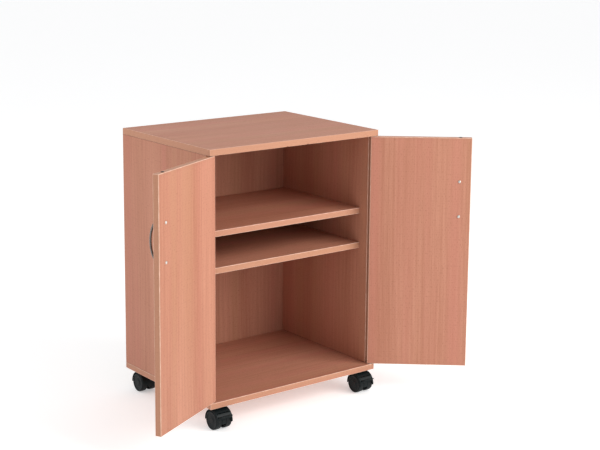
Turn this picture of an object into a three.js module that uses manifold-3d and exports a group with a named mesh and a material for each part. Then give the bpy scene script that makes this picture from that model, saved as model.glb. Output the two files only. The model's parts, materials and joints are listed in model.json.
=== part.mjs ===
// Mobile printer stand: a two-door melamine-faced cupboard on four twin-wheel castors.
// Millimetres, +Z up, front towards -Y. The doors stand open and the wheels rest on z = 0.
// The origin is the middle of the floor area that the stand covers as it is drawn.

import * as THREE from "three";
import { mergeVertices } from "three/addons/utils/BufferGeometryUtils.js";
import Module from "manifold-3d";

const wasm = await Module();
wasm.setup();

// ---- Driving dimensions -------------------------------------------------------------

const FIT_GAP = 0.3; // between pieces that touch or nest
const CUT_PAST = 1; // how far a cutting tool runs past the face that it opens
const BOARD = 16; // thickness of the top, base, sides, shelves and doors

const WIDTH = 545;
const DEPTH = 415;
const BOTTOM_BAY = 321; // clear height over the base, for lever-arch files
const MIDDLE_BAY = 81;
const TOP_BAY = 205;

const DOOR_END_GAP = 1.5; // between a door's ends and the top and base panels
const DOOR_MEETING_GAP = 3; // between the two closed doors
const DOOR_SWING_CLEARANCE = 0.7; // between a turning door's inner corner and a side's front edge
const LEFT_DOOR_OPEN = 153; // degrees that each door stands open
const RIGHT_DOOR_OPEN = 139.5;

const BACK_THICKNESS = 3;
const BACK_INSET = 12; // from the rear edges to the back panel
const GROOVE_DEPTH = 6;

const SHELF_SETBACK = 32; // behind the front edges of the sides
const SHELF_END_GAP = 0.6;
const SHELF_PIN_RADIUS = 2.5;
const SHELF_PIN_IN_SIDE = 9;
const SHELF_PIN_OUT = 8;
const SHELF_PIN_INSET = 37; // from a shelf's front and rear edges

const HINGE_PIN_RADIUS = 3;
const HINGE_PIN_IN_DOOR = 22;
const HINGE_PIN_IN_PANEL = 8;
const HINGE_BUSH_WALL = 1.7;
const HINGE_BUSH_DEPTH = 10;
const HINGE_BUSH_FLANGE_RIM = 1; // how far the flange stands out from the sleeve

const CATCH_INSET = 31; // from a door's free edge
const CATCH_RADIUS = 4.5;
const CATCH_DEPTH = 13;
const CATCH_CLEARANCE = 0.4; // between the catch's raised end and the top panel
const CATCH_SHOULDER = 0.4; // height of the end's straight rim, as a part of its whole rise
const CATCH_CROWN = 0.75; // radius of the end's flat crown, as a part of the catch's radius
const STRIKE_RADIUS = 8;
const STRIKE_THICKNESS = 1.2;

const HANDLE_INSET = 31; // from a door's free edge to the screws
const HANDLE_DROP = 137; // from the top of the body to the upper screw
const HANDLE_PITCH = 96; // between the two screws
const HANDLE_REACH = 26; // from the door's face to the middle of the bow
const HANDLE_RADIUS = 3;
const HANDLE_FOOT_RADIUS = 5;
const HANDLE_FOOT_HEIGHT = 9;
const HANDLE_SCREW_RADIUS = 2;
const HANDLE_SCREW_GRIP = 6; // thread inside the handle's foot
const SCREW_HEAD_RADIUS = 4;
const SCREW_HEAD_HEIGHT = 2.4;
const SCREW_HEAD_DOME = [
  // the head's rounding, as parts of its radius and height
  [1, 0],
  [0.85, 0.7],
  [0.45, 1],
];

const WHEEL_RADIUS = 25;
const WHEEL_WIDTH = 16.7;
const WHEEL_SIDE_GAP = 0.8; // between a wheel and the hood's web
const WHEEL_SHOULDER = 2.6; // rounding of the tread's outer edge
const WHEEL_HUB = 0.34; // radius of the flat hub, as a part of the wheel's radius
const WHEEL_HUB_SINK = 0.4; // from the outer rim down to the hub
const WHEEL_DISH_DEPTH = 1.6; // of the ring sunk into the outer face
const WHEEL_DISH = [0.4, 0.74]; // that ring's floor, as parts of the wheel's radius
const WHEEL_RIM = 0.8; // inside of the outer rim, as a part of the wheel's radius
const AXLE_RADIUS = 3;
const AXLE_END_DEPTH = 4; // of wheel left outside each end of the axle
const CASTOR_TRAIL = 12; // from the swivel axis forward to the axle
const CASTOR_SIDE_INSET = 35.5; // from the base's ends to the swivel axis
const CASTOR_END_INSET = 27.5; // from the base's front and rear edges
const HOOD_WEB = 13; // thickness of the web between the wheels
const HOOD_WALL = 3.4;
const HOOD_CLEARANCE = 1.4; // over the tread
const HOOD_SKIRT = 3; // how far the hood's two ends reach below the axle
const WEB_SKIRT = 8; // how far the web between the wheels reaches below the axle
const HOOD_EDGE = 1.5; // rounding of the hood's side edges
const SWIVEL_BOSS_RADIUS = 11;
const SWIVEL_BOSS_RISE = 0.6; // above the top of the hood
const SWIVEL_NECK = 2.7; // from the top of the hood to the mounting plate
const SWIVEL_STEM_RADIUS = 4;
const SWIVEL_STEM_LENGTH = 26; // below the mounting plate
const PLATE_SIZE = 42;
const PLATE_THICKNESS = 2.5;
const PLATE_CORNER = 5;
const PLATE_HOLE_RADIUS = 2.2;
const PLATE_HOLE_INSET = 6;

const BRAKE_WIDTH = 38;
const BRAKE_SIDE_GAP = 0.4;
const BRAKE_PIVOT_ANGLE = 43; // degrees above the axle, seen from the side
const BRAKE_WINDOW_MARGIN = 7; // degrees of hood cut away above the pivot
const BRAKE_WINDOW_LOW = -40; // degrees where the cut ends below the axle
const BRAKE_SHOE_ANGLE = 16;
const BRAKE_TAB_ANGLE = 28;
const BRAKE_TAB_SLOPE = 14; // degrees that the tab rises towards its tip
const BRAKE_TAB_REACH = 12; // beyond the hood
const BRAKE_TAB_THICKNESS = 3;
const BRAKE_SHOE_LIFT = 2.6; // between the shoe and the tread, released
const BRAKE_WALL = 2.6;
const BRAKE_BARREL_RADIUS = 2.3;
const BRAKE_PIN_RADIUS = 0.8;
const BRAKE_PIN_IN_CHEEK = 3.5;

const FINE_SIDES = 28; // facets round a wheel
const ROUND_SIDES = 16; // facets round small turned pieces
const TINY_SIDES = 10;
const SHOE_SIDES = 8; // facets along the brake shoe
const CORNER_SIDES = 4; // facets round a quarter turn
const BOW_STEPS = 20; // lengths along a handle's bow
const MERGE_DISTANCE = 1e-4; // between corners that count as one

// ---- Dimensions that follow ---------------------------------------------------------

const halfWidth = WIDTH / 2;
const halfDepth = DEPTH / 2;
const radians = THREE.MathUtils.degToRad;

const hoodInner = WHEEL_RADIUS + HOOD_CLEARANCE;
const hoodOuter = hoodInner + HOOD_WALL;
const hoodTop = WHEEL_RADIUS + hoodOuter;
const castorHeight = hoodTop + SWIVEL_NECK + PLATE_THICKNESS;
const hoodWidth = HOOD_WEB + 2 * (WHEEL_SIDE_GAP + WHEEL_WIDTH);

const baseTop = castorHeight + BOARD;
const lowerShelfBottom = baseTop + BOTTOM_BAY;
const upperShelfBottom = lowerShelfBottom + BOARD + MIDDLE_BAY;
const topBottom = upperShelfBottom + BOARD + TOP_BAY;
const overallHeight = topBottom + BOARD;

const hingeInset = BOARD / 2; // from the body's corner to the hinge axis, both ways
const doorCornerReach = Math.hypot(hingeInset, BOARD - hingeInset); // from the hinge axis
const sideFront = -halfDepth + hingeInset + doorCornerReach + DOOR_SWING_CLEARANCE;
const innerHalfWidth = halfWidth - BOARD;
const backRear = halfDepth - BACK_INSET;
const backFront = backRear - BACK_THICKNESS;
const shelfFront = sideFront + SHELF_SETBACK;
const shelfRear = backFront - SHELF_END_GAP;

const doorWidth = (WIDTH - DOOR_MEETING_GAP) / 2;
const doorBottom = baseTop + DOOR_END_GAP;
const doorTop = topBottom - DOOR_END_GAP;
const handleMiddle = overallHeight - HANDLE_DROP - HANDLE_PITCH / 2;
const bushRadius = HINGE_PIN_RADIUS + FIT_GAP + HINGE_BUSH_WALL;
const bushFlange = DOOR_END_GAP - 2 * FIT_GAP; // its thickness, in the gap at the door's end
const catchProud = DOOR_END_GAP - CATCH_CLEARANCE; // above the door's top edge

// ---- Finishes -----------------------------------------------------------------------

const finish = (color, roughness, metalness) =>
  new THREE.MeshStandardMaterial({ color, roughness, metalness });

const beech = () => finish(0xd9a27e, 0.45, 0);
const paleBoard = () => finish(0xc9a283, 0.6, 0);
const satinMetal = () => finish(0x9a9690, 0.3, 1);
const zincSteel = () => finish(0xb9b7b0, 0.4, 1);
const greyNylon = () => finish(0x8c8a86, 0.5, 0);
const blackPlastic = () => finish(0x14181a, 0.35, 0);
const treadPlastic = () => finish(0x1b1e20, 0.6, 0);

// ---- Shape helpers ------------------------------------------------------------------

/** A closed three.js geometry as a solid that can be joined and cut. */
function solid(geometry) {
  const bare = geometry.clone();
  bare.deleteAttribute("normal");
  bare.deleteAttribute("uv");
  const merged = mergeVertices(bare, MERGE_DISTANCE);
  return new wasm.Manifold(
    new wasm.Mesh({
      numProp: 3,
      vertProperties: new Float32Array(merged.attributes.position.array),
      triVerts: new Uint32Array(merged.index.array),
    }),
  );
}

/** A solid back as a three.js geometry. */
function geometryOf(body) {
  const { vertProperties, triVerts } = body.getMesh();
  const geometry = new THREE.BufferGeometry();
  geometry.setAttribute("position", new THREE.BufferAttribute(new Float32Array(vertProperties), 3));
  geometry.setIndex(new THREE.BufferAttribute(new Uint32Array(triVerts), 1));
  geometry.computeVertexNormals();
  return geometry;
}

const join = (first, ...rest) => geometryOf(rest.reduce((a, b) => a.add(solid(b)), solid(first)));
const cut = (first, ...tools) =>
  geometryOf(tools.reduce((a, b) => a.subtract(solid(b)), solid(first)));

/** A box between two corners. */
function block([x0, y0, z0], [x1, y1, z1]) {
  return new THREE.BoxGeometry(x1 - x0, y1 - y0, z1 - z0).translate(
    (x0 + x1) / 2,
    (y0 + y1) / 2,
    (z0 + z1) / 2,
  );
}

/** A round bar along an axis ("x", "y" or "z"), from one end to the other. */
function bar(axis, radius, from, to, [u, v] = [0, 0], sides = ROUND_SIDES) {
  const body = new THREE.CylinderGeometry(radius, radius, to - from, sides);
  body.translate(0, (from + to) / 2, 0);
  if (axis === "x") return body.rotateZ(-Math.PI / 2).translate(0, u, v);
  if (axis === "z") return body.rotateX(Math.PI / 2).translate(u, v, 0);
  return body.translate(u, 0, v);
}

/** A turned piece about the X, Y or Z axis. Its profile is [radius, distance along the axis]. */
function turned(axis, profile, sides = ROUND_SIDES) {
  const loop = profile.map(([radius, along]) => new THREE.Vector2(radius, along));
  if (THREE.ShapeUtils.area(loop) < 0) loop.reverse();
  const body = new THREE.LatheGeometry(loop, sides);
  if (axis === "x") return body.rotateZ(-Math.PI / 2);
  if (axis === "z") return body.rotateX(Math.PI / 2);
  return body;
}

/** An outline in the Y-Z plane, pushed out along X to both sides of x = 0. */
function sideProfile(shape, width, edge = 0, segments = ROUND_SIDES) {
  const body = new THREE.ExtrudeGeometry(shape, {
    depth: width - 2 * edge,
    curveSegments: segments,
    bevelEnabled: edge > 0,
    bevelThickness: edge,
    bevelSize: edge,
    bevelOffset: -edge,
    bevelSegments: 1,
  });
  body.translate(0, 0, edge - width / 2);
  const turn = new THREE.Matrix4().makeBasis(
    new THREE.Vector3(0, 1, 0),
    new THREE.Vector3(0, 0, 1),
    new THREE.Vector3(1, 0, 0),
  );
  return body.applyMatrix4(turn);
}

/** Adds a named mesh to a group. */
function place(group, name, geometry, material) {
  const mesh = new THREE.Mesh(geometry, material);
  mesh.name = name;
  group.add(mesh);
  return mesh;
}

// ---- Cupboard body ------------------------------------------------------------------

/** Where a shelf's four pins stand, as the side they are in and their y. */
function shelfPinPlaces() {
  const places = [];
  for (const [sideName, side] of [["left", -1], ["right", 1]]) {
    places.push({ name: `${sideName}_front`, side, y: shelfFront + SHELF_PIN_INSET });
    places.push({ name: `${sideName}_rear`, side, y: shelfRear - SHELF_PIN_INSET });
  }
  return places;
}

const pinHeightUnder = (shelfBottom) => shelfBottom - FIT_GAP - SHELF_PIN_RADIUS;

/** Hinge axis of the door on one side, in the body's frame. */
const hingeAt = (side) => [side * (halfWidth - hingeInset), -halfDepth + hingeInset];

/** Where the catch of a closed door meets the top panel. */
const catchAt = (side) => [side * (halfWidth - doorWidth + CATCH_INSET), -halfDepth + BOARD / 2];

/** The back panel's groove, as a cutter that runs past the panel at both ends. */
function backGroove(from, to) {
  return block(
    [from[0], backFront - FIT_GAP, from[1]],
    [to[0], backRear + FIT_GAP, to[1]],
  );
}

function makeTopPanel() {
  const cutters = [];
  for (const side of [-1, 1]) {
    const bushTop = topBottom + HINGE_BUSH_DEPTH;
    cutters.push(bar("z", bushRadius + FIT_GAP, topBottom - CUT_PAST, bushTop, hingeAt(side)));
    const strikeTop = topBottom + STRIKE_THICKNESS + FIT_GAP;
    cutters.push(bar("z", STRIKE_RADIUS + FIT_GAP, topBottom - CUT_PAST, strikeTop, catchAt(side)));
  }
  const reach = innerHalfWidth + GROOVE_DEPTH;
  cutters.push(backGroove([-reach, topBottom - CUT_PAST], [reach, topBottom + GROOVE_DEPTH]));
  return cut(
    block([-halfWidth, -halfDepth, topBottom], [halfWidth, halfDepth, overallHeight]),
    ...cutters,
  );
}

function makeBasePanel() {
  const reach = innerHalfWidth + GROOVE_DEPTH;
  const bushBottom = baseTop - HINGE_BUSH_DEPTH;
  return cut(
    block([-halfWidth, -halfDepth, castorHeight], [halfWidth, halfDepth, baseTop]),
    ...[-1, 1].map((side) =>
      bar("z", bushRadius + FIT_GAP, bushBottom, baseTop + CUT_PAST, hingeAt(side)),
    ),
    backGroove([-reach, baseTop - GROOVE_DEPTH], [reach, baseTop + CUT_PAST]),
  );
}

function makeSidePanel(side) {
  const inner = side * innerHalfWidth;
  const outer = side * halfWidth;
  const [low, high] = [Math.min(inner, outer), Math.max(inner, outer)];
  const panel = block([low, sideFront, baseTop + FIT_GAP], [high, halfDepth, topBottom - FIT_GAP]);
  const holeEnd = inner + side * (SHELF_PIN_IN_SIDE + FIT_GAP);
  const holeMouth = inner - side * CUT_PAST;
  const holes = [lowerShelfBottom, upperShelfBottom].flatMap((shelfBottom) =>
    shelfPinPlaces()
      .filter((pin) => pin.side === side)
      .map((pin) =>
        bar(
          "x",
          SHELF_PIN_RADIUS + FIT_GAP,
          Math.min(holeEnd, holeMouth),
          Math.max(holeEnd, holeMouth),
          [pin.y, pinHeightUnder(shelfBottom)],
          TINY_SIDES,
        ),
      ),
  );
  const grooveEnd = inner + side * GROOVE_DEPTH;
  const groove = backGroove(
    [Math.min(grooveEnd, holeMouth), baseTop - CUT_PAST],
    [Math.max(grooveEnd, holeMouth), topBottom + CUT_PAST],
  );
  return cut(panel, groove, ...holes);
}

function makeBody() {
  const body = new THREE.Group();
  place(body, "top_panel", makeTopPanel(), beech());
  place(body, "base_panel", makeBasePanel(), beech());
  place(body, "left_side_panel", makeSidePanel(-1), beech());
  place(body, "right_side_panel", makeSidePanel(1), beech());

  const backHalf = innerHalfWidth + GROOVE_DEPTH - FIT_GAP;
  const backEnd = GROOVE_DEPTH - FIT_GAP;
  place(
    body,
    "back_panel",
    block([-backHalf, backFront, baseTop - backEnd], [backHalf, backRear, topBottom + backEnd]),
    paleBoard(),
  );

  const shelfHalf = innerHalfWidth - SHELF_END_GAP;
  const shelves = [
    ["lower_shelf", lowerShelfBottom],
    ["upper_shelf", upperShelfBottom],
  ];
  for (const [name, bottom] of shelves) {
    place(
      body,
      name,
      block([-shelfHalf, shelfFront, bottom], [shelfHalf, shelfRear, bottom + BOARD]),
      beech(),
    );
    for (const pin of shelfPinPlaces()) {
      const ends = [
        pin.side * (innerHalfWidth + SHELF_PIN_IN_SIDE),
        pin.side * (innerHalfWidth - SHELF_PIN_OUT),
      ];
      const centre = [pin.y, pinHeightUnder(bottom)];
      const peg = bar("x", SHELF_PIN_RADIUS, Math.min(...ends), Math.max(...ends), centre, TINY_SIDES);
      place(body, `${name}_pin_${pin.name}`, peg, zincSteel());
    }
  }
  return body;
}

// ---- Hinges and catches in the body -------------------------------------------------

/** A flanged nylon bush. up is 1 in the top panel and -1 in the base panel. */
function makeHingeBush(side, panelFace, up) {
  const bore = HINGE_PIN_RADIUS + FIT_GAP;
  const seat = panelFace - up * FIT_GAP;
  const profile = [
    [bore, seat - up * bushFlange],
    [bushRadius + HINGE_BUSH_FLANGE_RIM, seat - up * bushFlange],
    [bushRadius + HINGE_BUSH_FLANGE_RIM, seat],
    [bushRadius, seat],
    [bushRadius, panelFace + up * (HINGE_BUSH_DEPTH - FIT_GAP)],
    [bore, panelFace + up * (HINGE_BUSH_DEPTH - FIT_GAP)],
  ];
  const [x, y] = hingeAt(side);
  return turned("z", [...profile, profile[0]]).translate(x, y, 0);
}

function makeBodyFittings() {
  const fittings = new THREE.Group();
  for (const [sideName, side] of [["left", -1], ["right", 1]]) {
    place(fittings, `${sideName}_upper_hinge_bush`, makeHingeBush(side, topBottom, 1), greyNylon());
    place(fittings, `${sideName}_lower_hinge_bush`, makeHingeBush(side, baseTop, -1), greyNylon());
    const strike = bar("z", STRIKE_RADIUS, topBottom, topBottom + STRIKE_THICKNESS, catchAt(side));
    place(fittings, `${sideName}_catch_strike`, strike, zincSteel());
  }
  return fittings;
}

// ---- Doors --------------------------------------------------------------------------

/** The middle line of a handle's bow: a half ellipse that stands on the door's face. */
class BowCurve extends THREE.Curve {
  getPoint(t, target = new THREE.Vector3()) {
    const angle = Math.PI * t;
    const rise = HANDLE_FOOT_HEIGHT / 2;
    return target.set(
      0,
      -rise - (HANDLE_REACH - rise) * Math.sin(angle),
      (-HANDLE_PITCH / 2) * Math.cos(angle),
    );
  }
}

/** The bow handle about its own middle, on a door face at y = 0 that looks towards -Y. */
function makeHandle() {
  const section = new THREE.Shape().absarc(0, 0, HANDLE_RADIUS, 0, 2 * Math.PI);
  const bow = new THREE.ExtrudeGeometry(section, {
    extrudePath: new BowCurve(),
    steps: BOW_STEPS,
    curveSegments: CORNER_SIDES,
  });
  const feet = [];
  const bores = [];
  for (const end of [-1, 1]) {
    const centre = [0, (end * HANDLE_PITCH) / 2];
    feet.push(bar("y", HANDLE_FOOT_RADIUS, -HANDLE_FOOT_HEIGHT, -FIT_GAP, centre));
    const boreRadius = HANDLE_SCREW_RADIUS + FIT_GAP;
    bores.push(bar("y", boreRadius, -HANDLE_SCREW_GRIP - FIT_GAP, 0, centre, TINY_SIDES));
  }
  return cut(join(bow, ...feet), ...bores);
}

/** A pan-head screw along Y: its head lies on the inner face, its thread runs towards -Y. */
function makeHandleScrew() {
  const headSeat = BOARD + FIT_GAP;
  const dome = SCREW_HEAD_DOME.map(([wide, high]) => [
    SCREW_HEAD_RADIUS * wide,
    headSeat + SCREW_HEAD_HEIGHT * high,
  ]);
  return turned("y", [
    [0, -HANDLE_SCREW_GRIP],
    [HANDLE_SCREW_RADIUS, -HANDLE_SCREW_GRIP],
    [HANDLE_SCREW_RADIUS, headSeat],
    ...dome,
    [0, headSeat + SCREW_HEAD_HEIGHT],
  ]);
}

/** The magnetic catch: a plug in the door's top edge whose domed end stands proud of it. */
function makeCatchMagnet() {
  return turned("z", [
    [0, doorTop - CATCH_DEPTH],
    [CATCH_RADIUS, doorTop - CATCH_DEPTH],
    [CATCH_RADIUS, doorTop + catchProud * CATCH_SHOULDER],
    [CATCH_RADIUS * CATCH_CROWN, doorTop + catchProud],
    [0, doorTop + catchProud],
  ]);
}

/** One door with its handle, screws, hinge pins and catch, about its hinge axis. */
function makeDoor(sideName, side, openDegrees) {
  const pivot = new THREE.Group();
  pivot.name = `${sideName}_door_pivot`;
  const [hingeX, hingeY] = hingeAt(side);
  pivot.position.set(hingeX, hingeY, 0);
  pivot.rotation.z = side * radians(openDegrees);

  // x of a point that lies a distance in from the door's hinge edge
  const across = (distance) => side * (hingeInset - distance);
  const outerFace = -hingeInset;
  const handleX = across(doorWidth - HANDLE_INSET);
  const catchX = across(doorWidth - CATCH_INSET);
  const screwHeights = {
    upper: handleMiddle + HANDLE_PITCH / 2,
    lower: handleMiddle - HANDLE_PITCH / 2,
  };

  const edges = [across(0), across(doorWidth)];
  const slab = block(
    [Math.min(...edges), outerFace, doorBottom],
    [Math.max(...edges), outerFace + BOARD, doorTop],
  );
  const pinHole = HINGE_PIN_RADIUS + FIT_GAP;
  const pinDepth = HINGE_PIN_IN_DOOR + FIT_GAP;
  const catchBottom = doorTop - CATCH_DEPTH - FIT_GAP;
  const screwHole = HANDLE_SCREW_RADIUS + FIT_GAP;
  const [before, behind] = [outerFace - CUT_PAST, outerFace + BOARD + CUT_PAST];
  const cutters = [
    bar("z", pinHole, doorBottom - CUT_PAST, doorBottom + pinDepth),
    bar("z", pinHole, doorTop - pinDepth, doorTop + CUT_PAST),
    bar("z", CATCH_RADIUS + FIT_GAP, catchBottom, doorTop + CUT_PAST, [
      catchX,
      outerFace + BOARD / 2,
    ]),
    ...Object.values(screwHeights).map((z) =>
      bar("y", screwHole, before, behind, [handleX, z], TINY_SIDES),
    ),
  ];
  place(pivot, `${sideName}_door`, cut(slab, ...cutters), beech());

  const handle = place(pivot, `${sideName}_door_handle`, makeHandle(), satinMetal());
  handle.position.set(handleX, outerFace, handleMiddle);
  for (const [level, z] of Object.entries(screwHeights)) {
    const screw = place(pivot, `${sideName}_handle_screw_${level}`, makeHandleScrew(), zincSteel());
    screw.position.set(handleX, outerFace, z);
  }

  const magnet = place(pivot, `${sideName}_catch_magnet`, makeCatchMagnet(), greyNylon());
  magnet.position.set(catchX, outerFace + BOARD / 2, 0);

  const intoPanel = DOOR_END_GAP + HINGE_PIN_IN_PANEL;
  const upperPin = bar("z", HINGE_PIN_RADIUS, doorTop - HINGE_PIN_IN_DOOR, doorTop + intoPanel);
  const pinTop = doorBottom + HINGE_PIN_IN_DOOR;
  const lowerPin = bar("z", HINGE_PIN_RADIUS, doorBottom - intoPanel, pinTop);
  place(pivot, `${sideName}_upper_hinge_pin`, upperPin, zincSteel());
  place(pivot, `${sideName}_lower_hinge_pin`, lowerPin, zincSteel());
  return pivot;
}

// ---- Castors ------------------------------------------------------------------------

/** A point round the axle, in the castor's own Y and Z: angle 0 looks forward, 90 up. */
function roundAxle(radius, degrees) {
  const angle = radians(degrees);
  return [-CASTOR_TRAIL - radius * Math.cos(angle), WHEEL_RADIUS + radius * Math.sin(angle)];
}

/** A sector of a ring round the axle, between two angles measured as in roundAxle. */
function ringSector(inner, outer, lowDegrees, highDegrees) {
  const from = Math.PI - radians(highDegrees);
  const to = Math.PI - radians(lowDegrees);
  const shape = new THREE.Shape();
  shape.absarc(-CASTOR_TRAIL, WHEEL_RADIUS, outer, from, to, false);
  shape.absarc(-CASTOR_TRAIL, WHEEL_RADIUS, inner, to, from, true);
  shape.closePath();
  return shape;
}

/** The fixed plate with its raceway and the stem that the hood turns on. */
function makeCastorPlate() {
  const half = PLATE_SIZE / 2;
  const corner = half - PLATE_CORNER;
  const outline = new THREE.Shape();
  outline.absarc(corner, corner, PLATE_CORNER, 0, Math.PI / 2);
  outline.absarc(-corner, corner, PLATE_CORNER, Math.PI / 2, Math.PI);
  outline.absarc(-corner, -corner, PLATE_CORNER, Math.PI, 1.5 * Math.PI);
  outline.absarc(corner, -corner, PLATE_CORNER, 1.5 * Math.PI, 2 * Math.PI);
  const top = castorHeight - FIT_GAP;
  const bottom = castorHeight - PLATE_THICKNESS;
  const plate = new THREE.ExtrudeGeometry(outline, {
    depth: top - bottom,
    bevelEnabled: false,
    curveSegments: CORNER_SIDES,
  }).translate(0, 0, bottom);
  const raceway = hoodTop + SWIVEL_BOSS_RISE + FIT_GAP;
  const holeAt = half - PLATE_HOLE_INSET;
  const holes = [];
  for (const x of [-holeAt, holeAt])
    for (const y of [-holeAt, holeAt])
      holes.push(
        bar("z", PLATE_HOLE_RADIUS, bottom - CUT_PAST, top + CUT_PAST, [x, y], TINY_SIDES),
      );
  const inPlate = bottom + PLATE_THICKNESS / 2;
  return cut(
    join(
      plate,
      bar("z", SWIVEL_BOSS_RADIUS, raceway, inPlate),
      bar("z", SWIVEL_STEM_RADIUS, bottom - SWIVEL_STEM_LENGTH, inPlate),
    ),
    ...holes,
  );
}

/** The hood's outline from the side: a disc that ends straight, a distance below the axle. */
function hoodOutline(skirt) {
  const past = Math.asin(skirt / hoodOuter);
  return new THREE.Shape().absarc(
    -CASTOR_TRAIL,
    WHEEL_RADIUS,
    hoodOuter,
    -past,
    Math.PI + past,
  );
}

/** The hood: an arch over both wheels, a web between them and the swivel boss on top. */
function makeCastorHood(braked) {
  const half = hoodWidth / 2;
  const bossTop = hoodTop + SWIVEL_BOSS_RISE;
  const axle = [-CASTOR_TRAIL, WHEEL_RADIUS];
  const stemEnd = castorHeight - PLATE_THICKNESS - SWIVEL_STEM_LENGTH;
  const whole = join(
    sideProfile(hoodOutline(HOOD_SKIRT), hoodWidth, HOOD_EDGE),
    sideProfile(hoodOutline(WEB_SKIRT), HOOD_WEB),
    bar("z", SWIVEL_BOSS_RADIUS, WHEEL_RADIUS, bossTop),
  );
  const cutters = [
    bar("x", hoodInner, HOOD_WEB / 2, half + SWIVEL_BOSS_RADIUS, axle, FINE_SIDES),
    bar("x", hoodInner, -half - SWIVEL_BOSS_RADIUS, -HOOD_WEB / 2, axle, FINE_SIDES),
    bar("x", AXLE_RADIUS + FIT_GAP, -half, half, axle),
    bar("z", SWIVEL_STEM_RADIUS + FIT_GAP, stemEnd - FIT_GAP, bossTop + CUT_PAST),
  ];
  if (braked) {
    const window = ringSector(
      WHEEL_RADIUS - FIT_GAP,
      hoodOuter + 2 * CUT_PAST,
      BRAKE_WINDOW_LOW,
      BRAKE_PIVOT_ANGLE + BRAKE_WINDOW_MARGIN,
    );
    cutters.push(sideProfile(window, BRAKE_WIDTH + 2 * BRAKE_SIDE_GAP));
    const pinHalf = BRAKE_WIDTH / 2 + BRAKE_PIN_IN_CHEEK + FIT_GAP;
    cutters.push(bar("x", BRAKE_PIN_RADIUS + FIT_GAP, -pinHalf, pinHalf, brakePivot(), TINY_SIDES));
  }
  return cut(whole, ...cutters);
}

const brakePivot = () => roundAxle(hoodInner + HOOD_WALL / 2, BRAKE_PIVOT_ANGLE);

/** The brake lever: a shoe over the treads that hangs from a pin, with a foot tab in front. */
function makeBrakeLever() {
  const inner = WHEEL_RADIUS + BRAKE_SHOE_LIFT;
  const shoe = sideProfile(
    ringSector(inner, inner + BRAKE_WALL, BRAKE_SHOE_ANGLE, BRAKE_PIVOT_ANGLE - 1),
    BRAKE_WIDTH,
    0,
    SHOE_SIDES,
  );
  const tabRoot = inner + BRAKE_WALL / 2;
  const tab = block(
    [-BRAKE_WIDTH / 2, tabRoot - hoodOuter - BRAKE_TAB_REACH, -BRAKE_TAB_THICKNESS / 2],
    [BRAKE_WIDTH / 2, 0, BRAKE_TAB_THICKNESS / 2],
  )
    .rotateX(-radians(BRAKE_TAB_SLOPE))
    .translate(0, ...roundAxle(tabRoot, BRAKE_TAB_ANGLE));
  const half = BRAKE_WIDTH / 2;
  const barrel = bar("x", BRAKE_BARREL_RADIUS, -half, half, brakePivot());
  const past = half + CUT_PAST;
  const bore = bar("x", BRAKE_PIN_RADIUS + FIT_GAP, -past, past, brakePivot(), TINY_SIDES);
  return cut(join(shoe, tab, barrel), bore);
}

/** One wheel on the +X side of the web: tread, dished outer face and blind bore. */
function makeWheel() {
  const inside = HOOD_WEB / 2 + WHEEL_SIDE_GAP;
  const outside = inside + WHEEL_WIDTH;
  const bore = AXLE_RADIUS + FIT_GAP;
  const boreEnd = outside - AXLE_END_DEPTH + FIT_GAP;
  return turned(
    "x",
    [
      [0, outside - WHEEL_HUB_SINK],
      [WHEEL_RADIUS * WHEEL_HUB, outside - WHEEL_HUB_SINK],
      ...WHEEL_DISH.map((part) => [WHEEL_RADIUS * part, outside - WHEEL_DISH_DEPTH]),
      [WHEEL_RADIUS * WHEEL_RIM, outside],
      [WHEEL_RADIUS - WHEEL_SHOULDER, outside],
      [WHEEL_RADIUS, outside - WHEEL_SHOULDER],
      [WHEEL_RADIUS, inside],
      [bore, inside],
      [bore, boreEnd],
      [0, boreEnd],
    ],
    FINE_SIDES,
  );
}

/** A whole castor about its swivel axis. Its wheels trail towards the front. */
function makeCastor(name, x, y, braked) {
  const castor = new THREE.Group();
  castor.name = `${name}_castor_swivel`;
  castor.position.set(x, y, 0);
  place(castor, `${name}_castor_plate`, makeCastorPlate(), blackPlastic());
  place(castor, `${name}_castor_hood`, makeCastorHood(braked), blackPlastic());

  const axleHalf = hoodWidth / 2 - AXLE_END_DEPTH;
  const axle = bar("x", AXLE_RADIUS, -axleHalf, axleHalf, [-CASTOR_TRAIL, WHEEL_RADIUS]);
  place(castor, `${name}_castor_axle`, axle, zincSteel());

  for (const [wheelName, half] of [["left", Math.PI], ["right", 0]]) {
    const wheel = place(castor, `${name}_castor_${wheelName}_wheel`, makeWheel(), treadPlastic());
    wheel.rotation.z = half;
    wheel.position.set(0, -CASTOR_TRAIL, WHEEL_RADIUS);
  }
  if (braked) {
    place(castor, `${name}_brake_lever`, makeBrakeLever(), blackPlastic());
    const pinHalf = BRAKE_WIDTH / 2 + BRAKE_PIN_IN_CHEEK;
    const pin = bar("x", BRAKE_PIN_RADIUS, -pinHalf, pinHalf, brakePivot(), TINY_SIDES);
    place(castor, `${name}_brake_pin`, pin, zincSteel());
  }
  return castor;
}

// ---- The whole stand ----------------------------------------------------------------

const stand = new THREE.Group();
stand.add(makeBody(), makeBodyFittings());
stand.add(makeDoor("left", -1, LEFT_DOOR_OPEN), makeDoor("right", 1, RIGHT_DOOR_OPEN));

const castorX = halfWidth - CASTOR_SIDE_INSET;
const castorY = halfDepth - CASTOR_END_INSET;
for (const [endName, end] of [["front", -1], ["rear", 1]])
  for (const [sideName, side] of [["left", -1], ["right", 1]])
    stand.add(makeCastor(`${endName}_${sideName}`, side * castorX, end * castorY, end < 0));

stand.updateMatrixWorld(true);
const covered = new THREE.Box3().setFromObject(stand, true);
const middle = covered.getCenter(new THREE.Vector3());
stand.position.set(-middle.x, -middle.y, -covered.min.z);

const model = new THREE.Group();
model.add(stand);
export default model;
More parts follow.
